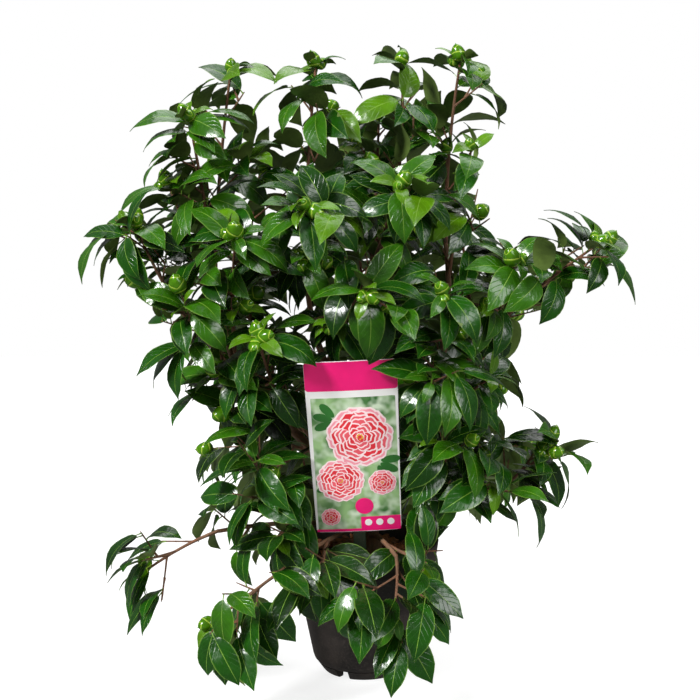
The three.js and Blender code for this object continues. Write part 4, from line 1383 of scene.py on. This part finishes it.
# ---------------------------------------------------------------- spun and flat pieces
def spun(name, profile, steps, sweep=360.0, start=0.0):
    """Spins a profile of (radius, height) in millimetres about +Z, in edit mode, into a closed body.

    A whole turn spins the profile's line, and a part of one its face."""
    points = [(r * MM, 0.0, z * MM) for r, z in profile]
    if sweep == 360:
        obj = mesh_object(name, points, [(i, i + 1) for i in range(len(points) - 1)], [])
    else:
        obj = mesh_object(name, points, [], [list(range(len(points)))])
    obj.data.transform(Matrix.Rotation(math.radians(start), 4, "Z"))
    activate(obj)
    bpy.ops.object.mode_set(mode="EDIT")
    bpy.ops.mesh.select_all(action="SELECT")
    bpy.ops.mesh.spin(steps=steps, angle=math.radians(sweep), center=(0, 0, 0), axis=(0, 0, 1))
    bpy.ops.mesh.select_all(action="SELECT")
    bpy.ops.mesh.remove_doubles(threshold=1e-5)
    bpy.ops.mesh.normals_make_consistent(inside=False)
    bpy.ops.object.mode_set(mode="OBJECT")
    return obj


def bend_points(start, control, end, count):
    """Points of a rounded corner, without its ends."""
    points = []
    for i in range(1, count):
        t = i / count
        weights = ((1 - t) ** 2, 2 * t * (1 - t), t * t)
        points.append(tuple(sum(w * p[k] for w, p in zip(weights, (start, control, end))) for k in range(2)))
    return points


def join_into(target, others):
    deselect()
    for obj in (target, *others):
        obj.select_set(True)
    bpy.context.view_layer.objects.active = target
    bpy.ops.object.join()
    return target


def smooth_below(obj, degrees):
    activate(obj)
    bpy.ops.object.shade_smooth_by_angle(angle=math.radians(degrees))


def label_matrix():
    place = Matrix.Translation(Vector((*LABEL["foot"], SOIL_TOP)) * MM)
    return place @ Matrix.Rotation(LABEL["lean"], 4, "X") @ Matrix.Rotation(-LABEL["tilt"], 4, "Y")


def plate(name, outline, front, thick, material, strips=10):
    """A thin flat piece of the label from its outline of (across, up), bowed as the card is."""
    corners = [(x * MM, front * MM, z * MM) for x, z in outline]
    obj = mesh_object(name, corners, [], [list(range(len(outline)))])
    mesh = obj.data
    mesh.materials.append(material)
    activate(obj)
    low, high = min(x for x, _ in outline), max(x for x, _ in outline)
    bpy.ops.object.mode_set(mode="EDIT")
    for i in range(1, strips):
        bpy.ops.mesh.select_all(action="SELECT")
        bpy.ops.mesh.bisect(plane_co=(mix(low, high, i / strips) * MM, 0, 0), plane_no=(1, 0, 0))
    bpy.ops.mesh.select_all(action="SELECT")
    bpy.ops.mesh.bisect(plane_co=(0, 0, LABEL["spike"] * MM), plane_no=(0, 0, 1))
    bpy.ops.mesh.select_all(action="SELECT")
    bpy.ops.mesh.normals_make_consistent(inside=False)
    bpy.ops.object.mode_set(mode="OBJECT")
    # The flat sheet faces forward, and its thickness goes back from there.
    if mesh.polygons[0].normal.y > 0:
        mesh.flip_normals()
    solid = obj.modifiers.new("thickness", "SOLIDIFY")
    solid.thickness = thick * MM
    solid.offset = -1
    bpy.ops.object.modifier_apply(modifier="thickness")
    for vertex in obj.data.vertices:
        vertex.co.y -= LABEL["bow"] * MM * (1 - (vertex.co.x / (LABEL["width"] / 2 * MM)) ** 2)
    return obj


def rounded(left, right, bottom, top, corner=1.0, count=4):
    """The outline of a rectangle with round corners, anticlockwise from its lower left."""
    corners = [(left, bottom, 180), (right, bottom, 270), (right, top, 0), (left, top, 90)]
    points = []
    for x, z, start in corners:
        cx = x + (corner if x == left else -corner)
        cz = z + (corner if z == bottom else -corner)
        for i in range(count + 1):
            angle = math.radians(start + 90 * i / count)
            points.append((cx + corner * math.cos(angle), cz + corner * math.sin(angle)))
    return points


def bowed(points):
    """Points on the label follow its bow, and then its place in the pot."""
    points = np.asarray(points, float)
    points[:, 1] -= LABEL["bow"] * (1 - (points[:, 0] / (LABEL["width"] / 2)) ** 2)
    turn = np.array(label_matrix().to_3x3())
    return (points @ turn.T + np.array((*LABEL["foot"], SOIL_TOP))) * MM


def petal(centre, reach, length, width, angle, count=16, ruffle=0.0):
    """The outline of one round petal of a rosette, ruffled at its rim."""
    a = np.arange(count) * 2 * math.pi / count
    rim = 1 + ruffle * np.cos(a / 2) ** 4 * np.sin(a * 5 + angle * 7)
    along = reach + np.cos(a) * rim * length / 2
    across = np.sin(a) * width / 2 * (1 + 0.16 * np.cos(a))
    x = centre[0] + along * math.cos(angle) - across * math.sin(angle)
    z = centre[1] + along * math.sin(angle) + across * math.cos(angle)
    return np.stack((x, z), -1)


def rosette(centre, size, turn, layers):
    """Petals of a printed rosette, outer ring first: (outline, height off the card, number of its ink)."""
    petals = []
    for k in range(layers):
        share = 1 - k / layers
        count = max(4, round(11 * share + 1))
        random = seeded(KEYS["print"], k, int(size))
        for j in range(count):
            angle = turn + k * 0.7 + j * 2 * math.pi / count + 0.25 * (random() - 0.5)
            length = size * (0.26 + 0.24 * share) * (0.9 + 0.2 * random())
            width = (size * 0.5 * share + size * 0.16) * (0.85 + 0.3 * random())
            reach = size * share - length / 2
            height = 0.3 + 0.1 * k + 0.03 * (j % 3)
            petals.append((petal(centre, reach, length, width, angle, 18, 0.12), height, 0))
            inner_width = width * (0.78 + 0.14 * random())
            inner = petal(centre, reach - size * 0.02, length * 0.86, inner_width, angle, 18, 0.16)
            petals.append((inner, height + 0.02, 1 if k == 0 else 2 + (j + k) % 2))
    for j in range(7):
        angle = j * GOLDEN_ANGLE
        spot = (centre[0] + size * 0.08 * math.cos(angle), centre[1] + size * 0.08 * math.sin(angle))
        petals.append((petal(spot, 0, size * 0.06, size * 0.06, 0, 8), 0.34 + 0.1 * layers, 4))
    return petals


def flat_prisms(pieces, thick=0.25):
    """Thin closed prisms on the label's face from (outline, height off the card, slot)."""
    vertices, faces, slots, start = [], [], [], 0
    for outline, height, slot in pieces:
        n = len(outline)
        front = -LABEL["thick"] / 2 - height
        for y in (front, front + thick):
            vertices.append(np.stack((outline[:, 0], np.full(n, y), outline[:, 1]), -1))
        faces.append([start + i for i in range(n)])
        faces.append([start + n + i for i in reversed(range(n))])
        faces += [[start + (i + 1) % n, start + i, start + n + i, start + n + (i + 1) % n] for i in range(n)]
        slots += [slot] * (n + 2)
        start += 2 * n
    return bowed(np.concatenate(vertices)), faces, slots


# ---------------------------------------------------------------- mulch
def chip_arrays():
    """Chips of bark lying every way on the compost: bent, tapered, with broken edges."""
    vertices, faces = [], []
    box = np.array(((-1, -1), (1, -1), (1, 1), (-1, 1)), float)
    (short, longer), (narrow, wider), (thin, thicker) = (CHIPS[name] for name in ("length", "width", "thick"))
    for n in range(CHIPS["count"]):
        random = seeded(KEYS["chips"], n)
        radius = CHIPS["ring"] * math.sqrt(random())
        angle = n * GOLDEN_ANGLE
        x, y = radius * math.cos(angle), radius * math.sin(angle)
        length = short + longer * random() ** 2
        width, thick = narrow + wider * random(), thin + thicker * random()
        at_trunk = math.hypot(x - TRUNK["foot"][0], y - TRUNK["foot"][1]) < CHIPS["trunk"]
        if at_trunk or radius + length / 2 > CHIPS["edge"]:
            continue
        bend = (random() - 0.5) * 0.5
        rings = []
        for a in np.linspace(-1, 1, 4):
            taper = 1 - 0.45 * abs(a) ** 1.5 * (0.4 + random())
            ring = np.zeros((4, 3))
            ring[:, 0] = a * length / 2
            ring[:, 1] = box[:, 0] * width / 2 * taper * (0.8 + 0.4 * random()) + bend * width * a * a
            ring[:, 2] = box[:, 1] * thick * taper + (random() - 0.5) * 0.8
            broken = np.array([[random(), random(), random()] for _ in range(4)]) - 0.5
            rings.append(ring + broken * (2.2, 1.4, 0.6))
        points = np.concatenate(rings)
        tilt, roll, turn = (random() - 0.5) * 0.8, (random() - 0.5) * 0.9, LOOSE_TURN * random()
        spin = Matrix.Rotation(turn, 3, "Z") @ Matrix.Rotation(tilt, 3, "Y") @ Matrix.Rotation(roll, 3, "X")
        lift = SOIL_TOP + 1.2 + 2.2 * random() - 5 * max(0, radius / CHIPS["ring"] - 0.55)
        first = len(vertices) * len(points)
        vertices.append(points @ np.array(spin).T + (x, y, lift))
        for near in (first, first + 4, first + 8):
            far = near + 4
            faces += [[near + (j + 1) % 4, far + (j + 1) % 4, far + j, near + j] for j in range(4)]
        faces += [[first, first + 1, first + 2, first + 3], [first + 15, first + 14, first + 13, first + 12]]
    return np.concatenate(vertices) * MM, faces


# ---------------------------------------------------------------- what a user can change
def color_setting(name, description, code):
    """A colour that a user can change, with an sRGB hex code as its default."""
    return bpy.props.FloatVectorProperty(
        name=name, description=description, subtype="COLOR", default=linear(code)[:3]
    )


def strength_setting(name, description, strength):
    return bpy.props.FloatProperty(name=name, description=description, default=strength, min=0)


class CamelliaPlantSettings(bpy.types.PropertyGroup):
    """Colours of the plant."""

    young: color_setting("Young leaves", "Blade colour of the newest sprays", "446c08")
    fresh: color_setting("Fresh leaves", "Blade colour near the crown's top", "275406")
    middle: color_setting("Grown leaves", "Blade colour of most sprays", "143f05")
    deep: color_setting("Older leaves", "Blade colour lower in the crown", "0f3004")
    dark: color_setting("Oldest leaves", "Blade colour of the deepest sprays", "0b2403")
    underside: color_setting("Undersides", "Colour under every leaf", "5a7030")
    rib: color_setting("Ribs and stalks", "Colour of midribs and leaf stalks", "628428")
    bud: color_setting("Buds", "Colour of the flower buds", "3f6e06")
    bark: color_setting("Bark", "Colour of the trunk and limbs", "8a6c50")
    twig: color_setting("Twigs", "Colour of the young wood", "7c5a40")


class CamelliaPotSettings(bpy.types.PropertyGroup):
    """Sizes and colours of the pot and its mulch."""

    plastic: color_setting("Pot", "Colour of the moulded plastic", "1c1917")
    rim_rounding: bpy.props.FloatProperty(
        name="Rim rounding", description="Radius of the rim's edge", default=1.2 * MM, min=0, unit="LENGTH"
    )
    segments: bpy.props.IntProperty(name="Segments", description="Steps round the pot", default=96, min=24)
    compost: color_setting("Compost", "Colour of the compost", "38251a")
    chips: color_setting("Bark chips", "Colour of the mulch", "7d4a28")


class CamelliaLabelSettings(bpy.types.PropertyGroup):
    """Colours of the plant label."""

    card: color_setting("Card", "Colour of the header and border", "ee1474")
    petals: color_setting("Petals", "Colour of the printed rosettes", "ea5a66")


class CamelliaStageSettings(bpy.types.PropertyGroup):
    """The studio round the plant."""

    floor_size: bpy.props.FloatProperty(
        name="Floor", description="Width of the floor", default=2.6, min=2, unit="LENGTH"
    )
    floor_glow: strength_setting("Floor glow", "Light from within the floor", 0.82)
    key: strength_setting("Key light", "Strength of the key light", 5.0)
    side: strength_setting("Side light", "Strength of the second light", 2.1)
    back: strength_setting("Top light", "Strength of the light from behind", 1.5)
    world: strength_setting("Fill", "Strength of the light all round", 0.14)


SETTINGS = {
    "camellia_plant": CamelliaPlantSettings,
    "camellia_pot": CamelliaPotSettings,
    "camellia_label": CamelliaLabelSettings,
    "camellia_stage": CamelliaStageSettings,
}
grown = []


def shrub():
    """The shrub is grown once and shared by every operator."""
    if not grown:
        grown.append(Growth().grow())
    return grown[0]


def opaque(color):
    return (*color, 1.0)


# ---------------------------------------------------------------- operators
class OBJECT_OT_camellia_limbs(bpy.types.Operator):
    """Builds the trunk and every limb with bark relief"""

    bl_idname = "object.camellia_limbs"
    bl_label = "Trunk and limbs"

    def execute(self, context):
        settings = context.scene.camellia_plant
        bark = bark_material("camellia_bark", opaque(settings.bark), 0.0035, linear("7d4e32"))
        for name in shrub().limbs:
            vertices, faces, uv = limb_tube(name, shrub())
            obj = object_from(f"{name}_bark", vertices, faces, [bark], smooth=60)
            set_uv(obj.data, uv)
            stand_for(obj, "bark", name)
        return {"FINISHED"}


class OBJECT_OT_camellia_twigs(bpy.types.Operator):
    """Builds the stems and twigs of every mass as one piece"""

    bl_idname = "object.camellia_twigs"
    bl_label = "Twigs"

    def execute(self, context):
        settings = context.scene.camellia_plant
        bark = bark_material("camellia_young_bark", opaque(settings.twig), 0.0022, linear("74492f"))
        vertices, faces, uv = twig_tubes(shrub())
        obj = object_from("twigs", vertices, faces, [bark], smooth=60)
        set_uv(obj.data, uv)
        stand_for(obj, "bark", *MASS_NAMES)
        return {"FINISHED"}


class OBJECT_OT_camellia_leaves(bpy.types.Operator):
    """Builds the leaves, one piece for each of five tones"""

    bl_idname = "object.camellia_leaves"
    bl_label = "Leaves"

    def execute(self, context):
        settings = context.scene.camellia_plant
        underside = leaf_underside_material(opaque(settings.underside))
        rib = leaf_rib_material(opaque(settings.rib))
        for number, tone in enumerate(TONES):
            blade = leaf_blade_material(f"leaf_cuticle_{tone}", opaque(getattr(settings, tone)))
            leaves = [leaf for leaf in shrub().leaves if tone_of(leaf) == number]
            vertices, faces, slots, uv = leaf_arrays(leaves)
            obj = object_from(f"leaves_{tone}", vertices, faces, [blade, underside, rib], slots, 50)
            set_uv(obj.data, uv)
            stand_for(obj, "foliage", *MASS_NAMES)
        return {"FINISHED"}


class OBJECT_OT_camellia_buds(bpy.types.Operator):
    """Builds the flower buds as one piece"""

    bl_idname = "object.camellia_buds"
    bl_label = "Buds"

    def execute(self, context):
        color = opaque(context.scene.camellia_plant.bud)
        vertices, faces, phases = bud_arrays(all_buds(shrub()))
        obj = object_from("flower_buds", vertices, faces, [bud_material(color)], smooth=60)
        layer = obj.data.attributes.new("scale_phase", "FLOAT", "POINT")
        layer.data.foreach_set("value", phases.astype(np.float32))
        stand_for(obj, "foliage", *MASS_NAMES)
        return {"FINISHED"}


class OBJECT_OT_camellia_pot(bpy.types.Operator):
    """Spins the pot with its rim, collar, base and four feet"""

    bl_idname = "object.camellia_pot"
    bl_label = "Pot"

    def execute(self, context):
        settings = context.scene.camellia_pot
        p, edge = POT, settings.rim_rounding / MM
        collar = p["height"] - p["collar_height"]
        step = p["wall_top"] + p["collar_step"]
        rim, inner = p["rim_radius"], p["rim_radius"] - p["wall"]
        base, floor = p["foot_height"], p["foot_height"] + p["wall"]
        edge_of_base, foot_of_wall = (p["bottom_edge"] - 1, base), (p["wall_foot"] - 0.5, base + 9)
        profile = [(0, base), edge_of_base]
        profile += bend_points(edge_of_base, (59.5, base + 1.5), foot_of_wall, 6)
        profile += [(p["wall_foot"], base + 12)]
        profile += [(p["wall_top"] - 0.4, collar - 1.5), (p["wall_top"], collar - 0.3)]
        profile += [(step - edge, collar), (step - 0.3, collar + 0.3), (step, collar + edge)]
        top, wall = p["height"], p["wall"]
        profile += [(rim - 0.2, top - edge), (rim - 0.5, top - 0.3), (rim - edge, top)]
        profile += [(inner + 0.6, top), (inner, top - 0.6), (p["wall_top"] - wall, collar)]
        profile += [(p["wall_foot"] - wall, floor + 12), (p["bottom_edge"] - wall, floor), (0, floor)]
        pot = spun("nursery_pot", profile, settings.segments)
        feet = []
        outer = p["foot_radius"]
        foot = [(outer - 7, base + 1), (outer - 7, 1), (outer - 6, 0), (outer + 0.5, 0), (outer + 2, 0.6)]
        foot += [(outer + 4.5, 3.5), (outer + 7.6, base - 2), (outer + 10.6, base + 2.2), (outer, base + 2.2)]
        for k in range(p["feet"]):
            middle = -90 + p["foot_turn"] + k * 360 / p["feet"]
            start = middle - p["foot_span"] / 2
            feet.append(spun(f"foot_{k}", foot, 20, p["foot_span"], start))
        join_into(pot, feet)
        smooth_below(pot, 35)
        pot.data.materials.append(pot_material(opaque(settings.plastic)))
        stand_for(pot, "pot", "pot")
        return {"FINISHED"}


class OBJECT_OT_camellia_mulch(bpy.types.Operator):
    """Fills the pot with compost and covers it with bark chips"""

    bl_idname = "object.camellia_mulch"
    bl_label = "Mulch"

    def execute(self, context):
        settings = context.scene.camellia_pot
        p = POT
        floor = p["foot_height"] + p["wall"]
        slope = (p["wall_top"] - p["wall_foot"]) / (p["height"] - p["collar_height"] - floor - 12)
        foot = p["wall_foot"] - p["wall"] - GAP
        wall = [(foot + slope * (z - floor - 12), z) for z in (floor + 12, SOIL_TOP - 14)]
        profile = [(0, floor + GAP), (p["bottom_edge"] - p["wall"] - GAP, floor + GAP), *wall]
        edge = wall[-1][0]
        profile += [(edge - 1.2, SOIL_TOP - 8), (edge - 3.5, SOIL_TOP - 4), (edge - 10, SOIL_TOP - 2)]
        profile += [(radius, SOIL_TOP - 0.5) for radius in range(int(edge - 14), 3, -6)]
        profile += [(0, SOIL_TOP - 0.5)]
        compost = spun("compost", profile, 72)
        for vertex in compost.data.vertices:
            if vertex.co.z > (SOIL_TOP - 9) * MM:
                place = vertex.co / MM
                vertex.co.z += (noise.noise(place / 9) * 1.6 + noise.noise(place / 4) * 0.9) * MM
        smooth_below(compost, 60)
        compost.data.materials.append(compost_material(opaque(settings.compost)))
        stand_for(compost, "mulch", "mulch")
        vertices, faces = chip_arrays()
        tone = opaque(settings.chips)
        brown = chip_material("pine_bark_chip", tone)
        materials = [brown, chip_material("pine_bark_chip_pale", scaled(tone, 1.7))]
        # One chip in three is pale; each has 14 faces.
        slots = (np.arange(len(faces)) // 14 * 7 % 3 == 0).astype(int)
        chips = object_from("bark_chips", vertices, faces, materials, slots)
        stand_for(chips, "mulch", "mulch")
        return {"FINISHED"}


class OBJECT_OT_camellia_label(bpy.types.Operator):
    """Builds the plant label: a bowed card on a spike, with its printed bands and rosettes"""

    bl_idname = "object.camellia_label"
    bl_label = "Plant label"

    def execute(self, context):
        settings = context.scene.camellia_label
        size = LABEL
        low, top = size["spike"], size["spike"] + size["height"]
        half, half_foot, half_spike = size["width"] / 2, size["foot_width"] / 2, size["spike_width"] / 2
        pink = print_material("print_pink", opaque(settings.card))
        white = print_material("print_white", linear("f0eeec"), 0.02)
        outline = [(0, -size["sunk"]), (half_spike, 12 - size["sunk"]), (half_spike, low - 3)]
        outline += bend_points((half_spike, low - 3), (half_spike, low), (half_spike + 3, low), 3)
        right = [(half_foot - size["corner"], low)]
        right += bend_points(right[0], (half_foot, low), (half_foot, low + size["corner"]), 5)
        right += [(half_foot, low + size["corner"]), (half, top - size["corner"])]
        right += bend_points((half, top - size["corner"]), (half, top), (half - size["corner"], top), 5)
        right += [(half - size["corner"], top)]
        outline += right
        outline += [(-x, z) for x, z in reversed(outline[1:])]
        parts = [plate("plant_label_card", outline, -size["thick"] / 2, size["thick"], white, 12)]
        # Fields of the print, each a thin film just proud of the card.
        header, strip, band = top - 38, top - 47, low + 20
        picture = rounded(-half_foot + 2.6, half_foot - 0.8, low + 3, strip)
        fields = [
            ("label_header", rounded(-half + 0.5, half - 0.5, header, top - 0.5, 4), 0.1, pink),
            ("label_picture", picture, 0.1, picture_material()),
            ("label_foot", rounded(-half_foot + 0.8, half_foot - 0.8, low + 0.6, low + 4), 0.2, pink),
            ("label_band", rounded(3, half_foot - 0.6, low + 1, band), 0.2, pink),
        ]
        for name, corners, height, material in fields:
            parts.append(plate(name, corners, -size["thick"] / 2 - height, 0.3, material))
        stake = pot_material(linear("1c2a1a"))
        stake.name = "label_stake_plastic"
        parts[0].data.materials.append(stake)
        for polygon in parts[0].data.polygons:
            polygon.material_index = int(polygon.center.z < (low - 1) * MM)
        for part in parts:
            part.data.transform(label_matrix())
        label = join_into(parts[0], parts[1:])
        smooth_below(label, 30)
        label.name = "plant_label_print"
        stand_for(label, "label", "plant_label")
        inks = [
            print_material("print_petal_edge", linear("fde0e2"), 0.05),
            print_material("print_petal_pale", linear("f59aa8")),
            print_material("print_petal", opaque(settings.petals)),
            print_material("print_petal_deep", linear("e22a38")),
            print_material("print_stamens", linear("e9b23c")),
            white,
            print_material("print_leaf", linear("2c6a2a"), 0.2),
            pink,
        ]
        leaf_ink, disc_inks = 6, {"white": 5, "pink": 7}
        pieces = []
        for spot, reach, turn in PRINTED_LEAVES:
            for k in range(3):
                outline = petal(spot, reach * 0.7, reach * 0.9, reach * 0.4, turn + k * 0.6)
                pieces.append((outline, 0.2, leaf_ink))
        for row in ROSETTES:
            pieces += rosette(*row)
        turn = np.linspace(0, math.tau, 24, endpoint=False)
        for x, z, radius, ink in DISCS:
            outline = np.stack((x + radius * np.cos(turn), z + radius * np.sin(turn)), -1)
            pieces.append((outline, 0.4, disc_inks[ink]))
        vertices, faces, slots = flat_prisms(pieces)
        stand_for(object_from("label_rosettes", vertices, faces, inks, slots), "label", "plant_label")
        return {"FINISHED"}


class OBJECT_OT_camellia_stage(bpy.types.Operator):
    """Lays the floor, sets the lamps and the world, and places the camera"""

    bl_idname = "object.camellia_stage"
    bl_label = "Stage"

    def execute(self, context):
        settings, scene = context.scene.camellia_stage, context.scene
        deselect()
        # The floor ends half a metre before the pot.
        place = (0, settings.floor_size / 2 - 0.5, 0)
        bpy.ops.mesh.primitive_plane_add(size=settings.floor_size, location=place)
        floor = bpy.context.object
        floor.name = "studio_floor"
        # Waxy leaves would mirror the light table from below and look milky.
        floor.visible_glossy = False
        floor.data.materials.append(floor_material(linear("8e8e8e"), settings.floor_glow))
        for name, setting, azimuth, elevation, angle in LAMPS:
            data = bpy.data.lights.new(name, "SUN")
            data.energy, data.angle = getattr(settings, setting), math.radians(angle)
            lamp = bpy.data.objects.new(name, data)
            scene.collection.objects.link(lamp)
            lamp.rotation_euler = (math.radians(90 - elevation), 0, math.radians(azimuth))
        world = bpy.data.worlds.new("studio_white")
        scene.world = world
        world.use_nodes = True
        nodes, links = world.node_tree.nodes, world.node_tree.links
        background = nodes["Background"]
        background.inputs["Color"].default_value = (1, 1, 1, 1)
        background.inputs["Strength"].default_value = settings.world
        seen = nodes.new("ShaderNodeBackground")
        seen.inputs["Color"].default_value = (1, 1, 1, 1)
        path, mixer = nodes.new("ShaderNodeLightPath"), nodes.new("ShaderNodeMixShader")
        links.new(path.outputs["Is Camera Ray"], mixer.inputs[0])
        links.new(background.outputs[0], mixer.inputs[1])
        links.new(seen.outputs[0], mixer.inputs[2])
        links.new(mixer.outputs[0], nodes["World Output"].inputs[0])
        camera = bpy.data.objects.new("camera", bpy.data.cameras.new("camera"))
        scene.collection.objects.link(camera)
        camera.location = VIEWPOINT * MM
        camera.rotation_euler = (math.radians(90 - LENS["down"]), 0, 0)
        camera.data.lens, camera.data.sensor_width = LENS["lens"], LENS["sensor"]
        scene.camera = camera
        scene.view_settings.view_transform = "Standard"
        return {"FINISHED"}


PIECES = ("limbs", "twigs", "leaves", "buds", "pot", "mulch", "label", "stage")


class VIEW3D_PT_camellia(bpy.types.Panel):
    """The camellia's settings and pieces"""

    bl_idname = "VIEW3D_PT_camellia"
    bl_label = "Potted Camellia"
    bl_space_type = "VIEW_3D"
    bl_region_type = "UI"
    bl_category = "Camellia"

    def draw(self, context):
        for name, group in SETTINGS.items():
            column = self.layout.column(align=True)
            for setting in group.__annotations__:
                column.prop(getattr(context.scene, name), setting)
        for piece in PIECES:
            self.layout.operator(f"object.camellia_{piece}")


CLASSES = (
    *SETTINGS.values(),
    OBJECT_OT_camellia_limbs,
    OBJECT_OT_camellia_twigs,
    OBJECT_OT_camellia_leaves,
    OBJECT_OT_camellia_buds,
    OBJECT_OT_camellia_pot,
    OBJECT_OT_camellia_mulch,
    OBJECT_OT_camellia_label,
    OBJECT_OT_camellia_stage,
    VIEW3D_PT_camellia,
)


def register():
    for cls in CLASSES:
        bpy.utils.register_class(cls)
    for name, group in SETTINGS.items():
        setattr(bpy.types.Scene, name, bpy.props.PointerProperty(type=group))


def unregister():
    for name in SETTINGS:
        delattr(bpy.types.Scene, name)
    for cls in reversed(CLASSES):
        bpy.utils.unregister_class(cls)


def main():
    register()
    for piece in PIECES:
        getattr(bpy.ops.object, f"camellia_{piece}")()


if __name__ == "__main__":
    main()
